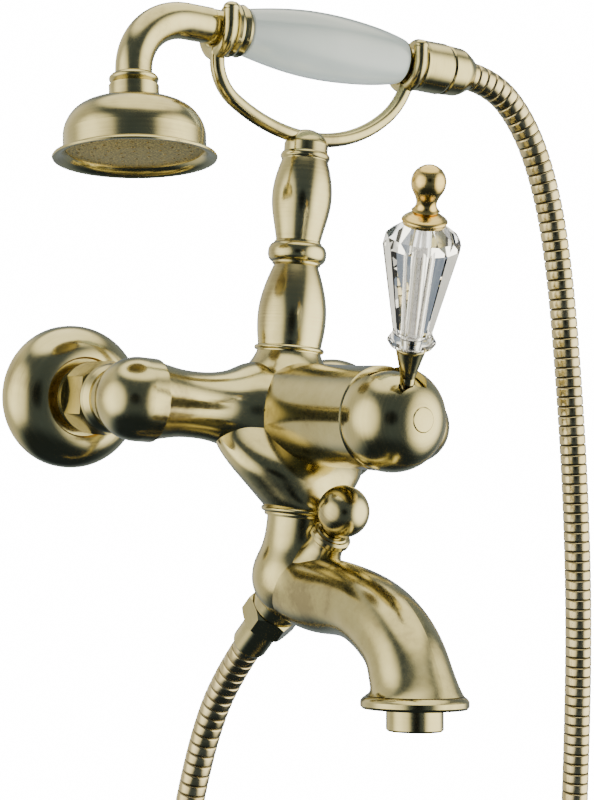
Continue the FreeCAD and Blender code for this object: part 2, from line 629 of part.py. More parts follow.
def finial():
    low = COLLAR_TOP + 0.02
    mid = FINIAL_TOP - FINIAL_R
    bore = ROD_R + RUN
    return lever_piece([
        (bore, low), (4.6, low), (5.4, low + 0.8), (4.6, low + 1.6),
        ("curve", [(4.6, low + 1.6), (3.9, low + 3.6), (4.6, mid - 5.6), (6.0, mid - 3.0), (FINIAL_R, mid),
                   (5.7, mid + 3.35), (3.2, FINIAL_TOP - 0.85), (0, FINIAL_TOP)]),
        (0, COLLAR_TOP + 9.2), (bore, COLLAR_TOP + 9.2)])


# Column and cradle

def column():
    """Turned column in two drums with a bead between and rings at both ends."""
    z0 = COLUMN_FOOT_Z
    r = COLUMN_FOOT_R
    outline = [
        (0, z0), (r, z0), ("curve", [(r, z0), (r + 0.6, z0 + 1.0), (r, z0 + 2.1)]), (r - 0.9, z0 + 2.4),
        (r - 0.7, z0 + 4.2),
        ("curve", [(r - 0.7, z0 + 4.2), (r + 0.15, z0 + 11), (r + 0.2, z0 + 19), (r - 1.6, z0 + 29),
                   (r - 4.4, z0 + 37.5), (r - 5.4, BEAD_Z - 5.4)]),
        (r - 4.4, BEAD_Z - 5.2),
        ("curve", [(r - 4.4, BEAD_Z - 4.4), (BEAD_R - 0.9, BEAD_Z - 3.3), (BEAD_R, BEAD_Z),
                   (BEAD_R - 0.9, BEAD_Z + 3.3), (r - 4.4, BEAD_Z + 4.4)]),
        (r - 4.6, BEAD_Z + 5.2), (r - 5.3, BEAD_Z + 5.6),
        ("curve", [(r - 5.3, BEAD_Z + 5.6), (r - 3.6, BEAD_Z + 13.5), (r - 1.8, BEAD_Z + 23.5),
                   (r - 1.95, BEAD_Z + 31), (r - 3.4, BEAD_Z + 38.5),
                   (COLUMN_RING_R - 0.6, COLUMN_RING_Z - 2)]),
        ("curve", [(COLUMN_RING_R - 0.6, COLUMN_RING_Z - 1.6), (COLUMN_RING_R + 0.1, COLUMN_RING_Z),
                   (COLUMN_RING_R - 0.6, COLUMN_RING_Z + 1.6)]),
        (CRADLE_STEM_R, COLUMN_RING_Z + 1.8), (CRADLE_STEM_R, COLUMN_TOP_Z), (0, COLUMN_TOP_Z),
    ]
    solid = turned(outline, V(0, BODY_Y, 0))
    return solid.cut(rod(COLUMN_BORE_R, V(0, BODY_Y, z0), Z, COLUMN_TOP_Z - z0))


def column_stud():
    """Threaded rod that ties the cradle and the column to the body."""
    return rod(COLUMN_BORE_R - RUN, V(0, BODY_Y, COLUMN_FOOT_Z - 8.5), Z, COLUMN_TOP_Z - COLUMN_FOOT_Z + 13)


FORK_R = TUBE_R + 0.4 + BAR_R + REST_GAP
LEFT_FORK = GRIP_START - FERRULE_LENGTH - FORK_GAP - BAR_R
RIGHT_FORK = GRIP_END + 1.2 + FORK_GAP + BAR_R


def bent(start, heading, end, r):
    """Round bar along an arc from start, leaving along heading; returns it with its last heading."""
    chord = end - start
    normal = heading.cross(chord).cross(heading).normalize()
    radius = chord.dot(chord) / (2 * chord.dot(normal))
    centre = start + normal * radius
    turn_axis = heading.cross(normal).normalize()
    angle = math.degrees((start - centre).getAngle(end - centre))
    section = Part.Face(Part.Wire(Part.Circle(start, heading, r).toShape()))
    leaving = FreeCAD.Rotation(turn_axis, angle).multVec(heading)
    return section.revolve(centre, turn_axis, angle), leaving


def fork(x):
    """Two-pronged rest, open upwards, drawn in the pitched frame."""
    section = Part.Face(Part.Wire(Part.Circle(V(x, -FORK_R, 0), Z, BAR_R).toShape()))
    hollow = section.revolve(V(x, 0, 0), X, 180)
    tip = FORK_REACH - BAR_R
    prong = [(0, 0), (BAR_R, 0), (BAR_R, tip), ("curve", [(BAR_R, tip), (BAR_R + 0.25, tip + 1.4),
             (BAR_R - 0.7, tip + 2.9), (0, FORK_REACH + 0.4)])]
    prongs = [turned(prong, V(x, side * FORK_R, 0)) for side in (-1, 1)]
    return placed(fused(hollow, *prongs), PITCHED)


def cradle():
    """Bowed bar on a socket, with a fork at each end."""
    bottom = V(0, BODY_Y, CRADLE_LOW_Z)
    left = PITCHED.multVec(V(LEFT_FORK, 0, -FORK_R))
    right = PITCHED.multVec(V(RIGHT_FORK, 0, -FORK_R))
    heading = V(1, 0, 0.03).normalize()
    arm1, h1 = bent(bottom, heading, RIGHT_KNEE, BAR_R)
    arm2, h2 = bent(RIGHT_KNEE, h1, right, BAR_R)
    arm3, h3 = bent(bottom, -heading, LEFT_KNEE, BAR_R)
    arm4, h4 = bent(LEFT_KNEE, h3, left, BAR_R)
    low, high = COLUMN_TOP_Z, CRADLE_LOW_Z
    socket = turned([(0, low), (CRADLE_STEM_R, low), (CRADLE_STEM_R, low + 1.5),
                     ("curve", [(CRADLE_STEM_R, low + 1.5), (CRADLE_STEM_R - 0.6, high - 1.5),
                                (CRADLE_STEM_R - 4.0, high + 2.2), (0, high + 3.9)])], V(0, BODY_Y, 0))
    solid = arm1
    for piece in (arm2, arm3, arm4, socket, ball(BAR_R + 0.3, left), ball(BAR_R + 0.3, right),
                  fork(LEFT_FORK), fork(RIGHT_FORK)):
        solid = solid.fuse(piece)
    return solid.removeSplitter().cut(rod(COLUMN_BORE_R, V(0, BODY_Y, COLUMN_TOP_Z - 1), Z, 6))


# Handset, drawn along X in its own frame

def along(outline):
    """Turned piece on the handset's axis; outline as (radius, X)."""
    return placed(turned(outline, V(0, 0, 0), X), HELD)


def hanging(outline):
    """Turned piece on the shower head's axis; outline as (radius, depth)."""
    return placed(turned(outline, V(HEAD_X, 0, 0), -Z), HELD)


def gooseneck():
    seat, inner = LEFT_FORK - BAR_R - 1.2, TUBE_R - TUBE_WALL
    start, corner = V(seat, 0, 0), V(HEAD_X + BEND_R, 0, 0)
    low = V(HEAD_X, 0, -HEAD_COLLAR_TOP - 4)
    k = BEND_R * math.sin(math.radians(45))
    bend = V(HEAD_X + BEND_R - k, 0, -BEND_R + k)
    path = Part.Wire([Part.makeLine(start, corner),
                      Part.Arc(corner, bend, V(HEAD_X, 0, -BEND_R)).toShape(),
                      Part.makeLine(V(HEAD_X, 0, -BEND_R), low)])
    outside, inside = [path.makePipeShell([Part.Wire(Part.Circle(start, -X, r).toShape())], True, True)
                       for r in (GOOSENECK_R, inner)]
    solid = outside.cut(inside)
    saddle = turned([(inner, seat), (GOOSENECK_R - 0.1, seat), (TUBE_R + 0.4, seat + 0.5),
                     (TUBE_R + 0.4, LEFT_FORK + 8), (TUBE_R, LEFT_FORK + 8), (TUBE_R, LEFT_FORK + 12),
                     (inner, LEFT_FORK + 12)], V(0, 0, 0), X)
    return placed(solid.fuse(saddle), HELD)


def front_ferrule():
    x0 = GRIP_START - FERRULE_LENGTH
    bore = TUBE_R + 0.4 + RUN
    return along([(bore, x0), (FERRULE_R - 1.6, x0), (FERRULE_R - 0.3, x0 + 0.9), (FERRULE_R, x0 + 2.2),
                  (FERRULE_R - 0.6, x0 + 3.6), (FERRULE_R - 1.5, x0 + 4.0), (FERRULE_R - 1.0, x0 + 5.2),
                  (FERRULE_R - 0.6, x0 + 6.6), (FERRULE_R - 1.3, x0 + 8.0),
                  (GRIP_END_R - 0.3, GRIP_START - 0.3),
                  (bore, GRIP_START - 0.3)])


def grip():
    """Porcelain handle, thickest in the middle."""
    bore = TUBE_R + 0.4 + RUN
    mid = (GRIP_START + GRIP_END) / 2
    a = GRIP_START + 0.6
    b = GRIP_END - 0.6
    return along([(bore, GRIP_START), (GRIP_END_R - 0.6, GRIP_START),
                  ("curve", [(GRIP_END_R, a), (GRIP_END_R + 2.4, a + 13), (GRIP_MID_R - 0.7, a + 27),
                             (GRIP_MID_R, mid + 2), (GRIP_MID_R - 0.6, b - 27), (GRIP_END_R + 2.9, b - 13),
                             (GRIP_END_R + 0.5, b)]),
                  (GRIP_END_R - 0.1, GRIP_END), (bore, GRIP_END)])


def inner_tube():
    """Brass tube through the porcelain, screwed into both ends."""
    x0, x1 = GRIP_START + 3.5, GRIP_END - 0.5
    return along([(TUBE_R - TUBE_WALL, x0), (TUBE_R + 0.2, x0), (TUBE_R + 0.2, x1), (TUBE_R - TUBE_WALL, x1)])


def handset_tail():
    """End fitting: neck that lies in the right fork, then a plain barrel with the hose thread."""
    x0 = GRIP_END + 0.3
    neck = TUBE_R + 0.4
    lip = RIGHT_FORK + BAR_R + FORK_GAP
    end = lip + TAIL_LENGTH
    return along([(4.5, x0), (GRIP_END_R + 0.2, x0), (GRIP_END_R - 0.2, x0 + 0.8), (neck, x0 + 0.9),
                  (neck, lip), (FERRULE_R - 1.2, lip), (FERRULE_R, lip + 1.2), (FERRULE_R - 0.1, lip + 3.0),
                  (FERRULE_R + 0.1, end - 2.0), (FERRULE_R - 0.3, end - 0.8), (FERRULE_R - 0.9, end),
                  (TAIL_THREAD_R, end), (TAIL_THREAD_R, end + 2.9), (4.5, end + 2.9)])


HEAD_BORE_R = GOOSENECK_R + RUN


def head_collar():
    """Ringed nut between the gooseneck and the shower head."""
    t = HEAD_COLLAR_TOP
    return hanging([(HEAD_BORE_R, t), (9.3, t), ("curve", [(9.3, t), (10.6, t + 1.8), (9.3, t + 3.6)]),
                    (9.6, t + 4.0), (10.7, t + 4.6), (10.7, HEAD_DOME_TOP - 0.1),
                    (HEAD_BORE_R, HEAD_DOME_TOP - 0.1)])


def shower_head():
    """Bell of the shower head with its flared rim."""
    w = HEAD_WALL
    d, s, b = HEAD_DOME_TOP, HEAD_SHOULDER, HEAD_RIM
    return hanging([
        (5.0, d), (11.0, d),
        ("curve", [(11.0, d), (18.8, d + 1.5), (25.3, d + 5.0), (28.9, s - 5.4), (HEAD_R, s)]),
        (HEAD_R, b - 2.9),
        ("curve", [(HEAD_R, b - 2.9), (HEAD_R + 1.0, b - 2.0), (RIM_R - 0.4, b - 1.3)]),
        (RIM_R, b - 0.7), (RIM_R - 0.3, b), (RIM_R - 1.6, b),
        ("curve", [(RIM_R - 1.6, b), (HEAD_R + 0.4, b - 1.1), (HEAD_R - w, b - 3.2)]),
        (HEAD_R - w, s + 0.6),
        ("curve", [(HEAD_R - w, s + 0.6), (27.4, s - 3.9), (24.2, d + 6.3), (18.0, d + 3.2), (11.0, d + w)]),
        (5.0, d + w)])


def rose_plate():
    """Spray plate inside the bell's mouth, drilled in rings."""
    r = HEAD_R - HEAD_WALL - 0.02
    low, t = HEAD_RIM - 3.6, 2.0
    plate = turned([(0, low - t + 1.2), (12, low - t + 1.0), (r, low - t - 0.4), (r, low), (24, low + 0.4),
                    (12, low + 1.6), (0, low + 1.8)], V(HEAD_X, 0, 0), -Z)
    holes = [rod(0.75, V(HEAD_X + q * math.cos(2 * math.pi * i / n), q * math.sin(2 * math.pi * i / n), 0),
                 -Z, 90) for q, n in ((6.5, 6), (12.5, 12), (18.5, 18), (24.0, 24)) for i in range(n)]
    return placed(plate.cut(holes), HELD)


# Spout

def across(y, z, r, lean):
    """Circle across the spout; lean is the way the water runs, degrees below the forward."""
    a = math.radians(lean)
    return Part.Wire(Part.Circle(V(0, y, z), V(0, -math.cos(a), -math.sin(a)), r).toShape())


def spout_run(wall):
    """Curved run from the bulb to the flange, made thinner by wall."""
    a = math.radians(90 - OUTLET_TILT)
    up = V(0, math.cos(a), math.sin(a))
    end = V(0, OUTLET_Y, OUTLET_Z) + up * FLANGE_T
    rows = [(BULB_Y, BULB_Z - 1.5, 17.6, 24), (-106.0, -72.6, 17.4, 14), (-119.4, -74.0, 16.3, 1),
            (-130.0, -73.7, 15.6, 1), (-141.5, -74.2, 15.1, 7), (-155.8, -77.2, 15.4, 19),
            (-167.4, -82.4, 15.6, 35),
            (-176.0, -89.2, 15.8, 52)]
    tail = [(-180.9, -96.4, 16.5, 66), (end.y + up.y * 2.0, end.z + up.z * 2.0, 17.7, 78),
            (end.y, end.z, 19.2, 90 - OUTLET_TILT)]
    return Part.makeLoft([across(y, z, r - wall, lean) for y, z, r, lean in rows + tail], True, False)


def diverter_axis():
    a = math.radians(DIVERTER_LEAN)
    return V(0, -math.sin(a), math.cos(a))


def outlet_axis():
    return V(0, 1, -1).normalize()


GLAND_R = 5.6              # thread of the diverter's gland
BULB = V(0, BULB_Y, BULB_Z)
DIVERTER = V(0, DIVERTER_Y, DIVERTER_Z)


def spout():
    """Cast spout: neck, bulb with the diverter boss and shower outlet, curved run, flange."""
    top = SPOUT_TOP_Z
    neck = turned([(0, top), (NECK_R, top),
                   ("curve", [(NECK_R, top), (NECK_R + 0.2, top - 7), (NECK_R + 1.3, top - 13.5),
                              (BULB_R - 1.2, BULB_Z + 6.5), (BULB_R, BULB_Z)]),
                   ("curve", [(BULB_R, BULB_Z), (BULB_R - 1.6, BULB_Z - 8.4), (BULB_R - 7.6, BULB_Z - 15.9),
                              (0, BULB_Z - BULB_R)])], V(0, BULB_Y + 0.8, 0))
    d, w = diverter_axis(), outlet_axis()
    b = DIVERTER_BOSS_R
    boss = turned([(0, -24), (15.5, -24), ("curve", [(15.5, -24), (12.0, -12.5), (b + 0.8, -6.0), (b, -1.0)]),
                   (b, 0), (0, 0)], DIVERTER, d)
    nipple = HOSE_NUT_START + NIPPLE_LENGTH
    outlet = turned([(0, 0), (12.5, 0), (11.4, HOSE_NUT_START - 2), (11.2, HOSE_NUT_START),
                     (TAIL_THREAD_R, HOSE_NUT_START), (TAIL_THREAD_R, nipple), (0, nipple)], BULB, w)
    a = math.radians(90 - OUTLET_TILT)
    down = V(0, -math.cos(a), -math.sin(a))
    end = V(0, OUTLET_Y, OUTLET_Z)
    flange = turned([(0, -FLANGE_T), (18.6, -FLANGE_T), ("curve", [(18.6, -FLANGE_T), (20.3, -FLANGE_T + 0.9),
                                                                  (FLANGE_R, -FLANGE_T + 2.2)]),
                     (FLANGE_R, -1.0), (FLANGE_R - 0.8, 0), (0, 0)], end, down)
    solid = fused(neck, spout_run(0.0), boss, outlet, flange)
    # inside
    chamber = turned([(0, top), (OUTLET_BORE_R, top), (OUTLET_BORE_R, top - 14), (BULB_R - 4.4, BULB_Z + 4),
                      (BULB_R - 4.0, BULB_Z - 2), (BULB_R - 9, BULB_Z - 11), (0, BULB_Z - 13.5)],
                     V(0, BULB_Y + 0.8, 0))
    solid = solid.cut([chamber, spout_run(SPOUT_WALL + 0.6), rod(5.5, BULB, w, 50),
                       rod(GLAND_R, DIVERTER, -d, 24), rod(DIVERTER_COLLAR_R + CLEAR, DIVERTER, d, 9),
                       rod(AERATOR_R + CLEAR, end, -down, 9.0), rod(AERATOR_R - 1.5, end, -down, 14.0)])
    return solid


def neck_ring():
    """Turned ring between body and spout."""
    z = NECK_RING_Z
    r = NECK_RING_R
    return turned([(OUTLET_BORE_R, z), (r - 0.8, z),
                   ("curve", [(r - 0.8, z), (r, z - 1.2), (r - 0.8, z - 2.4)]),
                   (r - 1.6, z - 2.7), (r - 1.6, z - 3.2), (NECK_R + 0.5, z - NECK_RING_H),
                   (OUTLET_BORE_R, z - NECK_RING_H)], V(0, NECK_Y, 0))


def outlet_down():
    a = math.radians(90 - OUTLET_TILT)
    return V(0, -math.cos(a), -math.sin(a))


def aerator_housing():
    end, down = V(0, OUTLET_Y, OUTLET_Z), outlet_down()
    r = AERATOR_R
    return turned([(r - 1.6, -8.0), (r, -8.0), (r, AERATOR_LENGTH - 0.7), (r - 0.7, AERATOR_LENGTH),
                   (r - 2.0, AERATOR_LENGTH), (r - 2.0, AERATOR_LENGTH - 1.4),
                   (r - 1.6, AERATOR_LENGTH - 1.4)],
                  end, down)


def aerator_insert():
    """Flow former with its mesh of slots."""
    end, down = V(0, OUTLET_Y, OUTLET_Z), outlet_down()
    r = AERATOR_R - 1.6 - RUN
    front = AERATOR_LENGTH - 1.5
    solid = turned([(0, -6.5), (r - 1.5, -6.5), (r, -5.0), (r, front), (0, front)], end, down)
    a = math.radians(90 - OUTLET_TILT)
    rearward = V(0, math.sin(a), -math.cos(a))
    cells = []
    for i in range(-3, 4):
        for k in range(-3, 4):
            if i * i + k * k < 11:
                start = end + V(i * 2.3, 0, 0) + rearward * (k * 2.3) - down * 10
                cells.append(rod(0.85, start, down, 30))
    return solid.cut(cells)


def aerator_washer():
    end, down = V(0, OUTLET_Y, OUTLET_Z), outlet_down()
    return tube(AERATOR_R - 0.2, AERATOR_R - 2.6, end - down * 9.0, down, 0.95)


# Diverter

def diverter_bonnet():
    """Screwed gland with a stepped collar; guides the stem."""
    d = diverter_axis()
    r = DIVERTER_COLLAR_R
    body = turned([(0, -10), (GLAND_R - RUN, -10), (GLAND_R - RUN, 0.02), (r - 0.9, 0.02), (r, 1.0), (r, 3.0),
                   (r - 1.1, 3.9), (r - 1.9, 4.0), (r - 2.4, 4.6), (0, 4.6)], DIVERTER, d)
    pocket = rod(4.5, DIVERTER - d * 11, d, 9.5)
    return body.cut(pocket).cut(rod(STEM_R + RUN, DIVERTER - d * 12, d, 30))


def diverter_knob():
    """Ball knob with a small ringed neck."""
    d = diverter_axis()
    c = KNOB_AHEAD
    arc = [(KNOB_R * math.sin(math.radians(t)), c - KNOB_R * math.cos(math.radians(t)))
           for t in (24, 42, 66, 90, 120, 150, 180)]
    bore = STEM_R + RUN
    return turned([(bore, 4.95), (4.4, 4.95), arc[0], ("curve", arc), (0, c + 2.0), (bore, c + 2.0)],
                  DIVERTER, d)


def diverter_stem():
    d = diverter_axis()
    return turned([(0, -22.0), (1.6, -22.0), (1.6, -20.0), (STEM_R, -20.0), (STEM_R, KNOB_AHEAD + 1.9),
                   (0, KNOB_AHEAD + 1.9)], DIVERTER, d)


def diverter_valve():
    """Valve plate on the stem's end, with its sealing face."""
    d = diverter_axis()
    return turned([(1.6 + RUN, -22.0), (5.3, -22.0), (5.3, -20.02), (1.6 + RUN, -20.02)], DIVERTER, d)


def diverter_spring():
    """Return spring round the stem, between the gland and the valve plate."""
    d = diverter_axis()
    r, wire, low, high = 3.5, 0.5, -19.4, -2.1
    pitch = (high - low) / 5
    heading = V(0, 1, pitch / (2 * math.pi * r))
    section = Part.Wire(Part.Circle(V(r, 0, 0), heading, wire).toShape())
    helix = Part.makeHelix(pitch, high - low, r)
    solid = Part.Wire(helix).makePipeShell([section], True, True)
    solid.Placement = FreeCAD.Placement(DIVERTER + d * low, FreeCAD.Rotation(Z, d))
    return solid


# Hose and its fittings

HOSE_START = BULB + outlet_axis() * (HOSE_NUT_START + HOSE_NUT_LENGTH + SLEEVE_LENGTH - HOSE_GRIP)
TAIL_END = RIGHT_FORK + BAR_R + FORK_GAP + TAIL_LENGTH
HOSE_END = HELD.multVec(V(TAIL_END + 0.4 + CONE_LENGTH - HOSE_GRIP, 0, 0))


def hose_nut():
    w = outlet_axis()
    at = BULB + w * (HOSE_NUT_START + 0.3)
    body = hexagon(HOSE_NUT_ACROSS, at, w, HOSE_NUT_LENGTH - 0.3, 30)
    body = body.common(turned([(0, 0), (11.6, 0), (13.2, 1.6), (13.2, HOSE_NUT_LENGTH - 2.4),
                               (11.0, HOSE_NUT_LENGTH - 0.3), (0, HOSE_NUT_LENGTH - 0.3)], at, w))
    body = body.cut(rod(TAIL_THREAD_R + RUN, at, w, HOSE_NUT_LENGTH - 0.3 - HOSE_NUT_LIP))
    return body.cut(rod(6.6, at, w, HOSE_NUT_LENGTH))


def hose_sleeve():
    """Crimped sleeve on the lower end of the hose, with the tail that the nut pulls up."""
    w = outlet_axis()
    a = HOSE_NUT_START + HOSE_NUT_LENGTH
    back = HOSE_NUT_START + NIPPLE_LENGTH + HOSE_SEAL + 0.02
    lip = a - HOSE_NUT_LIP - 0.05
    end, held = a + SLEEVE_LENGTH, HOSE_R + RUN
    return turned([(3.6, back), (8.8, back), (8.8, lip), (6.5, lip), (6.5, a + 0.05),
                   (SLEEVE_R - 0.4, a + 0.05),
                   (SLEEVE_R, a + 0.6), (SLEEVE_R, end - 1.2), (SLEEVE_R - 0.5, end), (held, end),
                   (held, end - HOSE_GRIP - 0.02), (3.6, end - HOSE_GRIP - 0.02)], BULB, w)


def hose_washer_low():
    w = outlet_axis()
    return tube(8.6, 5.6, BULB + w * (HOSE_NUT_START + NIPPLE_LENGTH), w, HOSE_SEAL)


def hose_cone():
    """Conical nut on the handset end of the hose."""
    x, thread = TAIL_END, TAIL_THREAD_R + RUN
    end, held = x + 0.4 + CONE_LENGTH, HOSE_R + RUN
    floor = end - HOSE_GRIP - 0.02
    return along([(thread, x + 0.25), (FERRULE_R - 0.8, x + 0.25), (FERRULE_R - 0.3, x + 0.9),
                  ("curve", [(FERRULE_R - 0.6, x + 7.5), (FERRULE_R - 1.2, x + 10.6),
                             (SLEEVE_R + 1.0, end - 1.8), (SLEEVE_R + 0.2, end - 0.3)]),
                  (SLEEVE_R, end), (held, end),
                  (held, floor), (3.6, floor), (3.6, floor - 1.2), (thread, floor - 1.2)])


def hose_washer_top():
    x = TAIL_END + 0.4 + CONE_LENGTH - HOSE_GRIP - 1.24
    return along([(4.6, x), (TAIL_THREAD_R - 0.3, x), (TAIL_THREAD_R - 0.3, x - 1.2), (4.6, x - 1.2)])


# Points of the hose's route between its two ends: back and down to the wall side,
# a wide free loop below, and up again on the right to the handset.
HOSE_ROUTE = [
    (-1.5, -30.0, -146.0), (-4.0, -19.5, -200.0), (-8.0, -16.0, -280.0), (-10.5, -19.0, -352.0),
    (-8.0, -28.0, -427.0), (55.0, -41.0, -490.0), (145.0, -57.0, -490.0), (209.0, -67.0, -427.0),
    (210.5, -71.0, -330.0), (208.5, -72.0, -240.0), (204.0, -72.3, -160.0), (198.3, -72.3, -90.0),
    (188.5, -72.3, -22.0), (177.0, -72.3, 38.0), (165.0, -72.3, 92.0), (151.5, -72.3, 133.0),
    (132.3, -72.3, 165.3),
]


def hose_corners():
    """Ends, a straight first and last run, and the free points between."""
    first = HOSE_START + outlet_axis() * HOSE_LEAD
    last = HOSE_END + HELD.Rotation.multVec(X) * HOSE_LEAD
    return [HOSE_START, first] + [V(*p) for p in HOSE_ROUTE] + [last, HOSE_END]


def hose_path():
    """Straight runs joined by the largest arcs that fit; returns edges and the arcs' radii."""
    p = hose_corners()
    edges, radii, at = [], [], p[0]
    for a, b, c in zip(p, p[1:], p[2:]):
        u, w = (b - a).normalize(), (c - b).normalize()
        turn = u.getAngle(w)
        cut = 0.45 * min((b - a).Length, (c - b).Length)
        r = cut / math.tan(turn / 2)
        start, end = b - u * cut, b + w * cut
        middle = b + (w - u).normalize() * (r / math.cos(turn / 2) - r)
        edges += [Part.makeLine(at, start), Part.Arc(start, middle, end).toShape()]
        radii.append(r)
        at = end
    edges.append(Part.makeLine(at, p[-1]))
    return edges, radii


def hose_stations(edges):
    """Evenly spaced (point, heading) pairs along the path, by length."""
    lengths = [e.Length for e in edges]
    total = sum(lengths)
    straight = 2 * HOSE_R
    pitch = (total - 2 * straight) / HOSE_RIBS

    def at(s):
        for e, length in zip(edges, lengths):
            if s <= length + 1e-9:
                t = e.getParameterByLength(min(s, length))
                return e.valueAt(t), e.tangentAt(t)
            s -= length
        return edges[-1].valueAt(edges[-1].LastParameter), edges[-1].tangentAt(edges[-1].LastParameter)

    low = HOSE_R - HOSE_GROOVE
    rows = [(0.0, HOSE_R), (straight - 0.6, HOSE_R)]
    for i in range(HOSE_RIBS):
        s = straight + i * pitch
        rows += [(s, low), (s + 0.18 * pitch, low), (s + 0.36 * pitch, HOSE_R), (s + 0.88 * pitch, HOSE_R)]
    rows += [(total - straight, HOSE_R), (total, HOSE_R)]
    return [(at(s), r) for s, r in rows], total


def framed_circle(point, heading, side, r):
    """Circle whose seam points along side."""
    circle = Part.Circle(point, heading, r)
    up = heading.cross(side)
    axes = FreeCAD.Rotation(side, up, heading, "ZXY")
    edge = Part.makeCircle(r)
    edge.Placement = FreeCAD.Placement(point, axes)
    return Part.Wire(edge)


def hose():
    """Interlocked metal hose: outer ribs and a plain bore in one closed skin."""
    edges, radii = hose_path()
    stations, total = hose_stations(edges)
    side = stations[0][0][1].cross(X).normalize()
    outer, inner = [], []
    for n, ((point, heading), r) in enumerate(stations):
        side = (side - heading * side.dot(heading)).normalize()
        outer.append(framed_circle(point, heading, side, r))
        if n % 2 == 0 or n == len(stations) - 1:
            inner.append(framed_circle(point, heading, side, HOSE_BORE_R))
    skin = Part.makeLoft(outer, False, True)
    bore = Part.makeLoft(inner, False, True)
    ends = ((outer[0], inner[0]), (outer[-1], inner[-1]))
    caps = [Part.Face(a).cut(Part.Face(b)).Faces[0] for a, b in ends]
    shell = Part.makeShell(skin.Faces + [f.reversed() for f in bore.Faces] + caps)
    shell.sewShape()
    solid = Part.Solid(shell)
    if solid.Volume < 0:
        solid.reverse()
    print("hose: length %.0f, least radius %.0f, largest %.0f, volume %.0f, section times length %.0f"
          % (total, min(radii), max(radii), solid.Volume,
             math.pi * (((HOSE_R + HOSE_R - HOSE_GROOVE) / 2) ** 2 - HOSE_BORE_R ** 2) * total))
    print("hose radii:", " ".join("%.0f" % r for r in radii))
    return solid


PIECES = {
    "wall_connector_left": lambda: connector(-1), "wall_connector_right": lambda: connector(1),
    "wall_rose_left": lambda: wall_rose(-1), "wall_rose_right": lambda: wall_rose(1),
    "union_nut_left": lambda: union_nut(-1), "union_nut_right": lambda: union_nut(1),
    "inlet_seal_left": lambda: inlet_seal(-1), "inlet_seal_right": lambda: inlet_seal(1),
    "mixer_body": mixer_body,
    "cartridge_body": cartridge_body, "cartridge_seals": cartridge_seals, "fixed_disc": fixed_disc,
    "moving_disc": moving_disc, "disc_carrier": disc_carrier, "rotor": rotor, "pivot_pin": pivot_pin,
    "spindle": spindle, "cartridge_nut": cartridge_nut,
    "lever_cap": lever_cap, "lever_hub": lever_hub, "grub_screw": grub_screw, "index_button": index_button,
    "lever_rod": lever_rod, "lever_ferrule": lever_ferrule, "crystal_cup": crystal_cup,
    "crystal": crystal, "gold_collar": gold_collar, "finial": finial,
    "column": column, "column_stud": column_stud, "cradle": cradle,
    "gooseneck": gooseneck, "front_ferrule": front_ferrule, "grip": grip, "inner_tube": inner_tube,
    "handset_tail": handset_tail, "head_collar": head_collar, "shower_head": shower_head,
    "rose_plate": rose_plate,
    "neck_ring": neck_ring, "spout": spout, "aerator_housing": aerator_housing,
    "aerator_insert": aerator_insert, "aerator_washer": aerator_washer,
    "diverter_bonnet": diverter_bonnet, "diverter_knob": diverter_knob, "diverter_stem": diverter_stem,
    "diverter_valve": diverter_valve, "diverter_spring": diverter_spring,
    "hose_nut": hose_nut, "hose_sleeve": hose_sleeve, "hose_washer_low": hose_washer_low,
    "hose": hose, "hose_cone": hose_cone, "hose_washer_top": hose_washer_top,
}

os.makedirs("parts", exist_ok=True)
for name, make in PIECES.items():
    shape = make()
    shape.exportStep("parts/%s.step" % name)
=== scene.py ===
import math

import bmesh
import bpy
from mathutils import Matrix, Vector


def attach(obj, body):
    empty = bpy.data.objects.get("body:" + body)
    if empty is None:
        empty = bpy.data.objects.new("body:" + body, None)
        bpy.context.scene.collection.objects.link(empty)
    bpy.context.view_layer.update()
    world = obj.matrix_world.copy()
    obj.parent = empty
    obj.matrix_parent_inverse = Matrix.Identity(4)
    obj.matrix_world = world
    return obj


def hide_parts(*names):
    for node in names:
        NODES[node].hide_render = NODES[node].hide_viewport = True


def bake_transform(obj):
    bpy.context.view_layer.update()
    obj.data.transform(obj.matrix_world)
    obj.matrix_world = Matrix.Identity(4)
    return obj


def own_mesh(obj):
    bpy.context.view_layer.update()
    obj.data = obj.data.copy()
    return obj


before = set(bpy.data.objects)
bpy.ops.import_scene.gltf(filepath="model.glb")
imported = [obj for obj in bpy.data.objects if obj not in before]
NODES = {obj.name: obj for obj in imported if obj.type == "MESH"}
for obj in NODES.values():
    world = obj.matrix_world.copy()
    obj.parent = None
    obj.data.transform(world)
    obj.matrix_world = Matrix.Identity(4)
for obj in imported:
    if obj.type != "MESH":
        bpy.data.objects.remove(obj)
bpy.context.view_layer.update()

# Wall-mounted bath mixer with a telephone handset. Metres; +Z up, -Y towards the user.
SCENE = bpy.context.scene
mm = 0.001

# Angles of the leaning pieces
OUTLET_TILT = math.radians(7.8)
DIVERTER_LEAN = math.radians(36)
HANDSET_PITCH = math.radians(4.3)
HANDSET_ROLL = math.radians(5)
LEVER_SWING = math.radians(-17)
LEVER_LEAN = math.radians(23)

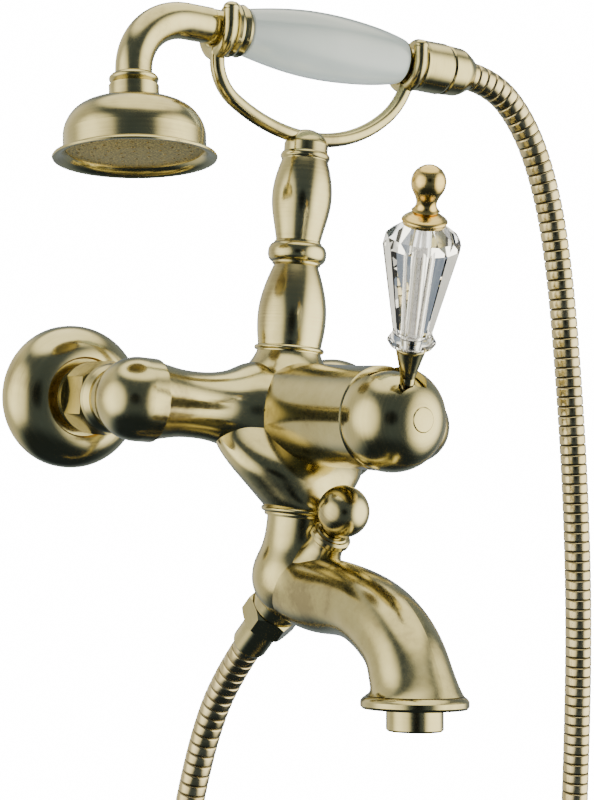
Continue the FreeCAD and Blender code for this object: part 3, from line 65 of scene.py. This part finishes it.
# Places and axes that the turned pieces share with the solids
INLETS = {"left": -0.075, "right": 0.075}
TO_USER = Vector((0, -1, 0))
UPRIGHT = Vector((0, 0, 1))
COLUMN = Vector((0, -0.0723, 0))
NECK = Vector((0, -0.0942, 0))
CAP_PIVOT = Vector((0, -0.1543, 0.0033))
BULB = Vector((0, -0.096, -0.068))
HOSE_OUTLET = Vector((0, 1, -1)).normalized()
OUTLET = Vector((0, -0.185, -0.1086))
OUTLET_DOWN = Vector((0, -math.sin(OUTLET_TILT), -math.cos(OUTLET_TILT)))
DIVERTER = Vector((0, -0.117, -0.0501))
DIVERTER_OUT = Vector((0, -math.sin(DIVERTER_LEAN), math.cos(DIVERTER_LEAN)))
HELD = (Matrix.Translation((0, -0.0723, 0.1752)) @ Matrix.Rotation(-HANDSET_PITCH, 4, "Y")
        @ Matrix.Rotation(-HANDSET_ROLL, 4, "X"))
SWUNG = Matrix.Translation(CAP_PIVOT) @ Matrix.Rotation(LEVER_SWING, 4, "Y")
LEANT = SWUNG @ Matrix.Translation((0, -0.0085, 0)) @ Matrix.Rotation(LEVER_LEAN, 4, "X")


def axis_of(matrix, letter):
    """Direction that a piece's own X, Y or Z takes once it is placed."""
    return matrix.to_3x3().col["XYZ".index(letter)].normalized()


# Materials

class Finish:
    """One node material with its shader, built up socket by socket."""

    def __init__(self, name, **sockets):
        self.material = bpy.data.materials.new(name)
        self.material.use_nodes = True
        self.tree = self.material.node_tree
        self.shader = self.tree.nodes["Principled BSDF"]
        for key, value in sockets.items():
            self.shader.inputs[key.replace("_", " ")].default_value = value

    def node(self, kind, **settings):
        made = self.tree.nodes.new(kind)
        for key, value in settings.items():
            if key in made.inputs:
                made.inputs[key].default_value = value
            else:
                setattr(made, key, value)
        return made

    def join(self, source, target):
        self.tree.links.new(source, target)

    def into(self, source, key):
        self.join(source, self.shader.inputs[key])

    def place(self, at=(0, 0, 0), axis=UPRIGHT):
        """Object coordinates, centred at a point with Z along an axis."""
        coordinates = self.node("ShaderNodeTexCoord")
        turned = self.node("ShaderNodeMapping", vector_type="TEXTURE")
        turned.inputs["Location"].default_value = at
        turned.inputs["Rotation"].default_value = Vector(axis).to_track_quat("Z", "Y").to_euler()
        self.join(coordinates.outputs["Object"], turned.inputs["Vector"])
        return turned.outputs["Vector"]

    def around(self, at, axis):
        """Coordinates that change only away from and along an axis, as lathe marks do."""
        split = self.node("ShaderNodeSeparateXYZ")
        self.join(self.place(at, axis), split.inputs[0])
        flat = self.node("ShaderNodeCombineXYZ")
        self.join(split.outputs[0], flat.inputs[0])
        self.join(split.outputs[1], flat.inputs[1])
        far = self.node("ShaderNodeVectorMath", operation="LENGTH")
        self.join(flat.outputs[0], far.inputs[0])
        made = self.node("ShaderNodeCombineXYZ")
        self.join(far.outputs["Value"], made.inputs[0])
        self.join(split.outputs[2], made.inputs[1])
        return made.outputs[0]

    def noise(self, vector, scale, detail=3.0, roughness=0.55):
        """Cloudy pattern whose cells are about one unit divided by the scale."""
        made = self.node("ShaderNodeTexNoise", Scale=scale, Detail=detail, Roughness=roughness)
        self.join(vector, made.inputs["Vector"])
        return made.outputs["Fac"]

    def span(self, source, low, high, start=0.0, end=1.0):
        """The source stretched from low..high onto start..end."""
        made = self.node("ShaderNodeMapRange")
        for key, value in (("From Min", low), ("From Max", high), ("To Min", start), ("To Max", end)):
            made.inputs[key].default_value = value
        self.join(source, made.inputs["Value"])
        return made.outputs["Result"]

    def ramp(self, source, *stops):
        """Colours at their places along the source, blended between."""
        made = self.node("ShaderNodeValToRGB")
        ends = made.color_ramp.elements
        while len(ends) < len(stops):
            ends.new(0.5)
        for stop, (place, colour) in zip(ends, stops):
            stop.position = place
            stop.color = (*colour, 1)
        self.join(source, made.inputs["Fac"])
        return made.outputs["Color"]

    def mixed(self, factor, first, second):
        made = self.node("ShaderNodeMix", data_type="RGBA")
        self.join(factor, made.inputs[0])
        for value, number in ((first, 6), (second, 7)):
            if isinstance(value, tuple):
                made.inputs[number].default_value = (*value, 1)
            else:
                self.join(value, made.inputs[number])
        return made.outputs[2]

    def total(self, first, second, operation="ADD"):
        """Two numbers or sockets added, or joined by another operation."""
        made = self.node("ShaderNodeMath", operation=operation)
        for value, number in ((first, 0), (second, 1)):
            if isinstance(value, float):
                made.inputs[number].default_value = value
            else:
                self.join(value, made.inputs[number])
        return made.outputs[0]

    def bump(self, source, distance, strength=1.0):
        made = self.node("ShaderNodeBump", Strength=strength, Distance=distance)
        self.join(source, made.inputs["Height"])
        self.into(made.outputs["Normal"], "Normal")


# Tones of the patina
BRONZE_DARK = (0.335, 0.282, 0.145)
BRONZE = (0.490, 0.425, 0.202)
BRONZE_PALE = (0.575, 0.508, 0.260)

# Tones of the stainless pieces
STEEL_DARK = (0.46, 0.46, 0.47)
STEEL_PALE = (0.62, 0.62, 0.63)
STEEL_ROUGHNESS = 0.22


def antique_brass(name, at=None, axis=UPRIGHT):
    """Satin bronze: faint lathe marks where it is turned, a cloudy patina."""
    finish = Finish(name, Metallic=1.0, Roughness=0.19)
    plain = finish.place()
    clouds = finish.noise(plain, 38.0, 3.0)
    if at is None:
        marks = finish.noise(plain, 420.0, 3.0, 0.6)
    else:
        marks = finish.noise(finish.around(at, axis), 900.0, 3.0, 0.6)
    most, little = finish.total(clouds, 0.8, "MULTIPLY"), finish.total(marks, 0.2, "MULTIPLY")
    worn = finish.total(most, little)
    finish.into(finish.ramp(worn, (0.34, BRONZE_DARK), (0.46, BRONZE), (0.64, BRONZE_PALE)), "Base Color")
    brushed = finish.span(marks, 0.3, 0.7, 0.15, 0.20)
    clouded = finish.span(clouds, 0.3, 0.7, 0.03, -0.02)
    finish.into(finish.total(brushed, clouded), "Roughness")
    finish.bump(marks, 0.00002, 0.10)
    return finish.material


def polished_gold(name, at, axis):
    """Bright plating of the collar and the finial, with lathe marks about their axis."""
    finish = Finish(name, Metallic=1.0, Roughness=0.12)
    marks = finish.noise(finish.around(at, axis), 1400.0, 2.0)
    clouds = finish.noise(finish.place(), 70.0)
    worn = finish.total(finish.total(clouds, marks), 0.5, "MULTIPLY")
    finish.into(finish.ramp(worn, (0.30, (0.58, 0.41, 0.12)), (0.65, (0.80, 0.60, 0.22))), "Base Color")
    finish.into(finish.span(marks, 0.3, 0.7, 0.14, 0.22), "Roughness")
    finish.bump(marks, 0.00002, 0.1)
    return finish.material


def cut_crystal():
    """Clear lead glass with a trace of polishing haze on the facets."""
    finish = Finish("cut_crystal", Metallic=0.0, Roughness=0.02, IOR=1.58, Transmission_Weight=1.0)
    haze = finish.noise(finish.place(), 160.0, 3.0)
    finish.into(finish.ramp(haze, (0.35, (0.965, 0.972, 0.985)), (0.65, (0.995, 0.997, 1.0))), "Base Color")
    finish.into(finish.span(haze, 0.35, 0.7, 0.0, 0.03), "Roughness")
    return finish.material


def white_porcelain():
    """Glazed grip: white, faintly cool, with a soft waviness in the glaze."""
    finish = Finish("white_porcelain", Roughness=0.08, IOR=1.52, Coat_Weight=0.6, Coat_Roughness=0.04)
    waves = finish.noise(finish.place(), 34.0, 2.0)
    finish.into(finish.ramp(waves, (0.3, (0.41, 0.475, 0.49)), (0.7, (0.46, 0.525, 0.54))), "Base Color")
    finish.into(finish.span(waves, 0.3, 0.7, 0.06, 0.13), "Roughness")
    finish.bump(waves, 0.0004, 0.10)
    return finish.material


def spray_face(at, axis):
    """Underside of the shower head: duller, with a fine even grain."""
    finish = Finish("spray_face", Metallic=1.0, Roughness=0.45)
    grain = finish.noise(finish.place(at, axis), 1300.0, 2.0, 0.7)
    finish.into(finish.ramp(grain, (0.38, (0.48, 0.385, 0.15)), (0.62, (0.95, 0.80, 0.37))), "Base Color")
    finish.into(finish.span(grain, 0.35, 0.65, 0.40, 0.54), "Roughness")
    finish.bump(grain, 0.00008, 0.35)
    return finish.material


def hose_metal():
    """Plated hose: pale bands, with near-black painted shade in the grooves."""
    finish = Finish("hose_metal", Metallic=1.0, Roughness=0.24)
    painted_groove_shade = finish.node("ShaderNodeAttribute", attribute_name="groove").outputs["Fac"]
    clouds = finish.noise(finish.place(), 120.0, 3.0)
    bands = finish.ramp(clouds, (0.3, (0.50, 0.41, 0.20)), (0.7, (0.64, 0.55, 0.32)))
    # Near-black painted shade where the groove attribute is set.
    finish.into(finish.mixed(painted_groove_shade, bands, (0.030, 0.022, 0.010)), "Base Color")
    brushed = finish.span(clouds, 0.3, 0.7, 0.17, 0.25)
    finish.into(finish.total(brushed, finish.span(painted_groove_shade, 0.0, 1.0, 0.0, 0.3)), "Roughness")
    return finish.material


def inner_metal(name, dark, pale, roughness):
    """Plain machined metal of the connectors, the fasteners and the pieces inside."""
    finish = Finish(name, Metallic=1.0, Roughness=roughness)
    marks = finish.noise(finish.place(), 380.0, 4.0)
    finish.into(finish.ramp(marks, (0.35, dark), (0.65, pale)), "Base Color")
    finish.into(finish.span(marks, 0.3, 0.7, roughness - 0.05, roughness + 0.08), "Roughness")
    return finish.material


def moulded(name, dark, pale, roughness, grain):
    """Rubber, plastic and bare ceramic pieces inside."""
    finish = Finish(name, Roughness=roughness)
    speckle = finish.noise(finish.place(), grain, 3.0)
    finish.into(finish.ramp(speckle, (0.35, dark), (0.65, pale)), "Base Color")
    finish.into(finish.span(speckle, 0.3, 0.7, roughness - 0.06, roughness + 0.06), "Roughness")
    finish.bump(speckle, 0.00008, 0.25)
    return finish.material


def dress(nodes, material):
    """Give nodes a finish, in every material slot they have."""
    for name in nodes:
        mesh = NODES[name].data
        if not mesh.materials:
            mesh.materials.append(material)
        for number in range(len(mesh.materials)):
            mesh.materials[number] = material


HANDSET = axis_of(HELD, "X")
HEAD_AXIS = axis_of(HELD, "Z")
HEAD_PLACE = HELD @ Vector((-0.0935, 0, 0))
LEVER = axis_of(LEANT, "Z")
LEVER_PLACE = LEANT.translation
CAP_AXIS = axis_of(SWUNG, "Y")

for side, x in INLETS.items():
    wall_turned = antique_brass(f"antique_brass_{side}_inlet", (x, 0, 0), TO_USER)
    dress([f"wall_rose_{side}", f"union_nut_{side}"], wall_turned)
dress(["mixer_body", "spout", "gooseneck", "cradle"], antique_brass("antique_brass_cast"))
dress(["column"], antique_brass("antique_brass_column", COLUMN, UPRIGHT))
dress(["neck_ring"], antique_brass("antique_brass_neck_ring", NECK, UPRIGHT))
dress(["lever_cap", "index_button"], antique_brass("antique_brass_cap", CAP_PIVOT, CAP_AXIS))
dress(["lever_hub"], antique_brass("antique_brass_shield"))
dress(["aerator_housing"], antique_brass("antique_brass_outlet", OUTLET, OUTLET_DOWN))
dress(["diverter_bonnet", "diverter_knob"], antique_brass("antique_brass_diverter", DIVERTER, DIVERTER_OUT))
dress(["hose_nut", "hose_sleeve"], antique_brass("antique_brass_hose_outlet", BULB, HOSE_OUTLET))
dress(["front_ferrule", "handset_tail", "hose_cone"],
      antique_brass("antique_brass_handset", HELD.translation, HANDSET))
dress(["head_collar", "shower_head"], antique_brass("antique_brass_head", HEAD_PLACE, HEAD_AXIS))
dress(["rose_plate"], spray_face(HEAD_PLACE, HEAD_AXIS))
dress(["lever_ferrule", "crystal_cup"], antique_brass("antique_brass_lever", LEVER_PLACE, LEVER))
dress(["gold_collar", "finial"], polished_gold("polished_gold", LEVER_PLACE, LEVER))
dress(["crystal"], cut_crystal())
dress(["grip"], white_porcelain())
dress(["wall_connector_left", "wall_connector_right", "cartridge_nut", "diverter_stem", "inner_tube"],
      inner_metal("plain_brass", (0.50, 0.34, 0.13), (0.66, 0.48, 0.22), 0.3))
dress(["spindle", "pivot_pin", "grub_screw", "column_stud"],
      inner_metal("bright_steel", STEEL_DARK, STEEL_PALE, STEEL_ROUGHNESS))
dress(["lever_rod"],
      inner_metal("rod_steel", (0.20, 0.19, 0.17), (0.32, 0.30, 0.27), 0.16))
dress(["inlet_seal_left", "inlet_seal_right", "cartridge_seals", "aerator_washer", "hose_washer_low",
       "hose_washer_top", "diverter_valve"],
      moulded("black_rubber", (0.012, 0.012, 0.013), (0.03, 0.03, 0.032), 0.6, 700.0))
dress(["fixed_disc", "moving_disc"],
      moulded("bare_ceramic", (0.72, 0.71, 0.69), (0.80, 0.79, 0.77), 0.4, 900.0))
dress(["cartridge_body", "rotor", "disc_carrier", "aerator_insert"],
      moulded("grey_plastic", (0.42, 0.43, 0.44), (0.50, 0.51, 0.52), 0.45, 500.0))


# Camera

CAMERA_AT = Vector((-0.3300, -0.5947, -0.0115))
CAMERA_YAW = math.radians(32.8)
CAMERA_PITCH = math.radians(2.0)
CAMERA_ROLL = math.radians(4.8)
CAMERA_LENS = 60.345


def photograph_camera():
    """Left of the front, looking a little up, rolled so that upright pieces lean clockwise."""
    yaw, pitch, roll = CAMERA_YAW, CAMERA_PITCH, CAMERA_ROLL
    ahead = Vector((math.sin(yaw) * math.cos(pitch), math.cos(yaw) * math.cos(pitch), math.sin(pitch)))
    right = Vector((math.cos(yaw), -math.sin(yaw), 0))
    up = right.cross(ahead)
    right, up = (math.cos(roll) * right + math.sin(roll) * up,
                 math.cos(roll) * up - math.sin(roll) * right)
    data = bpy.data.cameras.new("photograph_camera")
    data.lens = CAMERA_LENS
    data.sensor_width = 36.0
    data.clip_start = 0.05
    data.clip_end = 50.0
    camera = bpy.data.objects.new("photograph_camera", data)
    SCENE.collection.objects.link(camera)
    turn = Matrix((right, up, -ahead)).transposed().to_4x4()
    camera.matrix_world = Matrix.Translation(CAMERA_AT) @ turn
    SCENE.camera = camera


photograph_camera()


# Hose

# Corner points of the hose's route in millimetres, from the lower outlet round to the handset
HOSE_ROUTE = [
    (0, -66.30, -97.70), (0, -48.27, -115.73), (-1.5, -30, -146), (-4, -19.5, -200), (-8, -16, -280),
    (-10.5, -19, -352), (-8, -28, -427), (55, -41, -490), (145, -57, -490), (209, -67, -427),
    (210.5, -71, -330), (208.5, -72, -240), (204, -72.3, -160), (198.3, -72.3, -90),
    (188.5, -72.3, -22), (177, -72.3, 38), (165, -72.3, 92), (151.5, -72.3, 133),
    (132.3, -72.3, 165.3), (106.2, -72.3, 183.2), (80.8, -72.3, 181.3),
]
HOSE_R = 7.0 * mm
HOSE_PITCH = 5.2 * mm
HOSE_SIDES = 28
PLAIN_END = 9.0 * mm         # smooth length at each end
RINGS_AT_ONCE = 40

# Rings of one rib: share of the pitch, change of radius in mm, darkness of the painted shade in the groove
RIB_SECTION = (
    (0.025, -0.75, 1.0), (0.07, -0.09, 0.0), (0.20, 0.0, 0.0), (0.80, 0.0, 0.0), (0.93, -0.09, 0.0),
    (0.975, -0.75, 1.0),
)
END_DROP = -0.2              # change of radius at both ends, in mm


def smooth_route(points):
    """Points read from the NURBS line that the route's corners control."""
    curve = bpy.data.curves.new("hose_line", "CURVE")
    curve.dimensions = "3D"
    curve.resolution_u = 48
    line = curve.splines.new("NURBS")
    line.points.add(len(points) - 1)
    for corner, point in zip(line.points, points):
        corner.co = (*(Vector(point) * mm), 1)
    line.order_u = 3
    line.use_endpoint_u = True
    holder = bpy.data.objects.new("hose_line", curve)
    mesh = bpy.data.meshes.new_from_object(holder)
    found = [v.co.copy() for v in mesh.vertices]
    bpy.data.objects.remove(holder)
    bpy.data.curves.remove(curve)
    bpy.data.meshes.remove(mesh)
    return found


def along(path, distance):
    """Point and heading at a distance along a path."""
    for a, b in zip(path, path[1:]):
        step = (b - a).length
        if distance <= step:
            return a + (b - a) * (distance / step), (b - a) / step
        distance -= step
    return path[-1].copy(), (path[-1] - path[-2]).normalized()


def hose_stretch(whole, places):
    """A few ribs, drawn out ring by ring through their places and added to the whole hose."""
    bm = bmesh.new()
    groove = bm.verts.layers.float.new("groove")
    ring = bmesh.ops.create_circle(bm, segments=HOSE_SIDES, radius=1.0)["verts"]
    edges = list({e for v in ring for e in v.link_edges})
    now = Matrix.Identity(4)
    for number, (place, dark) in enumerate(places):
        if number:
            made = bmesh.ops.extrude_edge_only(bm, edges=edges)["geom"]
            ring = [g for g in made if isinstance(g, bmesh.types.BMVert)]
            edges = [g for g in made if isinstance(g, bmesh.types.BMEdge) and set(g.verts) <= set(ring)]
        bmesh.ops.transform(bm, matrix=place @ now.inverted(), verts=ring)
        now = place
        # Each ring keeps how dark its painted groove shade is.
        for v in ring:
            v[groove] = dark
    mesh = bpy.data.meshes.new("hose_stretch")
    bm.to_mesh(mesh)
    bm.free()
    whole.from_mesh(mesh)
    bpy.data.meshes.remove(mesh)


def ribbed_hose():
    """Metal hose: each rib is a flat band with a narrow groove beside it."""
    path = smooth_route(HOSE_ROUTE)
    length = sum((b - a).length for a, b in zip(path, path[1:]))
    ribs = round((length - 2 * PLAIN_END) / HOSE_PITCH)
    pitch = (length - 2 * PLAIN_END) / ribs
    stations = [(0.0, END_DROP, 0.0)]
    for rib in range(ribs):
        stations += [(PLAIN_END + (rib + share) * pitch, drop, dark) for share, drop, dark in RIB_SECTION]
    stations.append((length, END_DROP, 0.0))

    side_way = Vector((1, 0, 0))
    places = []
    for distance, drop, dark in stations:
        point, ahead = along(path, distance)
        side_way = (side_way - ahead * side_way.dot(ahead)).normalized()
        turn = Matrix((side_way, ahead.cross(side_way), ahead)).transposed().to_4x4()
        places.append((Matrix.Translation(point) @ turn @ Matrix.Scale(HOSE_R + drop * mm, 4), dark))

    bm = bmesh.new()
    # Layer for the painted groove shade of every ring.
    bm.verts.layers.float.new("groove")
    for first in range(0, len(places) - 1, RINGS_AT_ONCE):
        hose_stretch(bm, places[first:first + RINGS_AT_ONCE + 1])
    bmesh.ops.remove_doubles(bm, verts=bm.verts, dist=0.001 * mm)
    bmesh.ops.holes_fill(bm, edges=[e for e in bm.edges if e.is_boundary], sides=0)
    bmesh.ops.recalc_face_normals(bm, faces=bm.faces)
    for face in bm.faces:
        face.smooth = len(face.verts) == 4
    mesh = bpy.data.meshes.new("spiral_hose")
    bm.to_mesh(mesh)
    bm.free()
    hose = bpy.data.objects.new("spiral_hose", mesh)
    SCENE.collection.objects.link(hose)
    mesh.materials.append(hose_metal())
    return hose, path


spiral_hose, hose_path = ribbed_hose()
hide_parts("hose")
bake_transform(spiral_hose)


def return_spring():
    """The diverter's spring, smooth-shaded with its own finish, and its lowest and highest points along the
    knob's pull. In the mixer it shortens against the gland as the knob is pulled out; here it keeps its
    shape.
    """
    bm = bmesh.new()
    bm.from_mesh(NODES["diverter_spring"].data)
    bmesh.ops.remove_doubles(bm, verts=bm.verts, dist=0.001 * mm)
    heights = [v.co.dot(DIVERTER_OUT) for v in bm.verts]
    for face in bm.faces:
        face.smooth = True
    mesh = bpy.data.meshes.new("return_spring")
    bm.to_mesh(mesh)
    bm.free()
    mesh.materials.clear()
    mesh.materials.append(inner_metal("spring_steel", STEEL_DARK, STEEL_PALE, STEEL_ROUGHNESS))
    spring = bpy.data.objects.new("return_spring", mesh)
    SCENE.collection.objects.link(spring)
    return spring, min(heights), max(heights)


coil_spring, spring_foot, spring_top = return_spring()
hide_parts("diverter_spring")
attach(coil_spring, "fixed")
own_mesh(coil_spring)


# Studio

FLOOR_CENTRE = (0, -0.07, -0.54)
FLOOR_RADIUS = 1.1
SURROUND_STRENGTH = 0.16
BACKDROP_STRENGTH = 16.0

# Round lights: degrees round from behind the camera, degrees up, half angle, soft edge, strength
SOFT_BOXES = (
    (-60, -4, 11, 34, 2.5),      # narrow, on the left
    (-104, 0, 36, 24, 0.80),     # broad fill, far left
    (82, 0, 16, 37, 4.0),        # key light, on the right
    (0, 90, 30, 14, 2.3),        # overhead
    (180, 20, 40, 30, 0.25),     # faint, at the back
)
CAMERA_GAP = (2, 0, 6, 12, 0.90)         # shade where the camera stands
FLOOR_SHADE = (0, -90, 34, 26, 0.70)     # shade from below
CRYSTAL_BACK = (180, 0, 34, 20, 5.0)     # light that only the crystal lets through


def pale_floor():
    """Plain pale disc under the mixer, past the photograph's lower edge."""
    bm = bmesh.new()
    bmesh.ops.create_circle(bm, cap_ends=True, segments=96, radius=FLOOR_RADIUS)
    bmesh.ops.translate(bm, verts=bm.verts, vec=FLOOR_CENTRE)
    mesh = bpy.data.meshes.new("studio_floor")
    bm.to_mesh(mesh)
    bm.free()
    floor = bpy.data.objects.new("studio_floor", mesh)
    SCENE.collection.objects.link(floor)
    finish = Finish("studio_floor", Roughness=0.9)
    grain = finish.noise(finish.place(), 3.0)
    finish.into(finish.ramp(grain, (0.3, (0.93, 0.93, 0.93)), (0.7, (0.96, 0.96, 0.96))), "Base Color")
    finish.shader.inputs["Emission Color"].default_value = (1, 1, 1, 1)
    finish.shader.inputs["Emission Strength"].default_value = 1.6
    mesh.materials.append(finish.material)
    floor.visible_glossy = False


def studio_light():
    """Dim surround with soft boxes, a dark gap at the camera and a white backdrop behind the mixer."""
    world = bpy.data.worlds.new("white_studio")
    SCENE.world = world
    world.use_nodes = True
    tree = world.node_tree
    tree.nodes.clear()
    join = tree.links.new
    direction = tree.nodes.new("ShaderNodeTexCoord").outputs["Generated"]

    def facing(azimuth, elevation):
        """Cosine of the angle to a direction; azimuth 0 is behind the camera, positive to its right."""
        bearing, rise = math.radians(azimuth) - CAMERA_YAW, math.radians(elevation)
        dot = tree.nodes.new("ShaderNodeVectorMath")
        dot.operation = "DOT_PRODUCT"
        dot.inputs[1].default_value = (math.sin(bearing) * math.cos(rise),
                                       -math.cos(bearing) * math.cos(rise), math.sin(rise))
        join(direction, dot.inputs[0])
        return dot.outputs["Value"]

    def soft_edge(source, outer, inner, strength):
        """Nothing at the outer value, full strength at the inner one, smooth between."""
        made = tree.nodes.new("ShaderNodeMapRange")
        made.interpolation_type = "SMOOTHSTEP"
        for key, value in (("From Min", outer), ("From Max", inner), ("To Min", 0.0), ("To Max", strength)):
            made.inputs[key].default_value = value
        join(source, made.inputs["Value"])
        return made.outputs["Result"]

    def plus(first, second, operation="ADD"):
        """Two numbers or sockets added, or joined by another operation."""
        made = tree.nodes.new("ShaderNodeMath")
        made.operation = operation
        for value, number in ((first, 0), (second, 1)):
            if isinstance(value, float):
                made.inputs[number].default_value = value
            else:
                join(value, made.inputs[number])
        return made.outputs[0]

    def box(azimuth, elevation, size, edge, strength):
        """Round soft box: its half angle and the width of its soft edge, in degrees."""
        return soft_edge(facing(azimuth, elevation), math.cos(math.radians(size + edge)),
                         math.cos(math.radians(size)), strength)

    def curtain(period, width):
        """Upright strips of light, a number of degrees apart; a larger width leaves thinner gaps."""
        split = tree.nodes.new("ShaderNodeSeparateXYZ")
        join(direction, split.inputs[0])
        bearing = plus(split.outputs[0], split.outputs[1], "ARCTAN2")
        return soft_edge(plus(plus(bearing, 360.0 / period, "MULTIPLY"), 0.0, "SINE"), -width, 0.3, 1.0)

    light = SURROUND_STRENGTH
    for soft_box in SOFT_BOXES:
        light = plus(light, box(*soft_box))
    for shade in (CAMERA_GAP, FLOOR_SHADE):
        light = plus(light, plus(1.0, box(*shade), "SUBTRACT"), "MULTIPLY")

    path = tree.nodes.new("ShaderNodeLightPath").outputs
    seen, through = path["Is Camera Ray"], path["Is Transmission Ray"]
    behind = plus(curtain(9.0, 0.1), box(*CRYSTAL_BACK), "MULTIPLY")
    light = plus(light, plus(through, behind, "MULTIPLY"))
    surround = tree.nodes.new("ShaderNodeBackground")
    join(light, surround.inputs["Strength"])
    tint = tree.nodes.new("ShaderNodeValToRGB")
    tint.color_ramp.elements[0].color = (0.46, 0.68, 1.0, 1)
    tint.color_ramp.elements[1].color = (1.0, 0.958, 0.79, 1)
    join(light, tint.inputs["Fac"])
    join(tint.outputs["Color"], surround.inputs["Color"])
    backdrop = tree.nodes.new("ShaderNodeBackground")
    backdrop.inputs["Color"].default_value = (1, 1, 1, 1)
    backdrop.inputs["Strength"].default_value = BACKDROP_STRENGTH
    either = tree.nodes.new("ShaderNodeMixShader")
    join(seen, either.inputs[0])
    join(surround.outputs[0], either.inputs[1])
    join(backdrop.outputs[0], either.inputs[2])
    output = tree.nodes.new("ShaderNodeOutputWorld")
    join(either.outputs[0], output.inputs[0])


pale_floor()
studio_light()
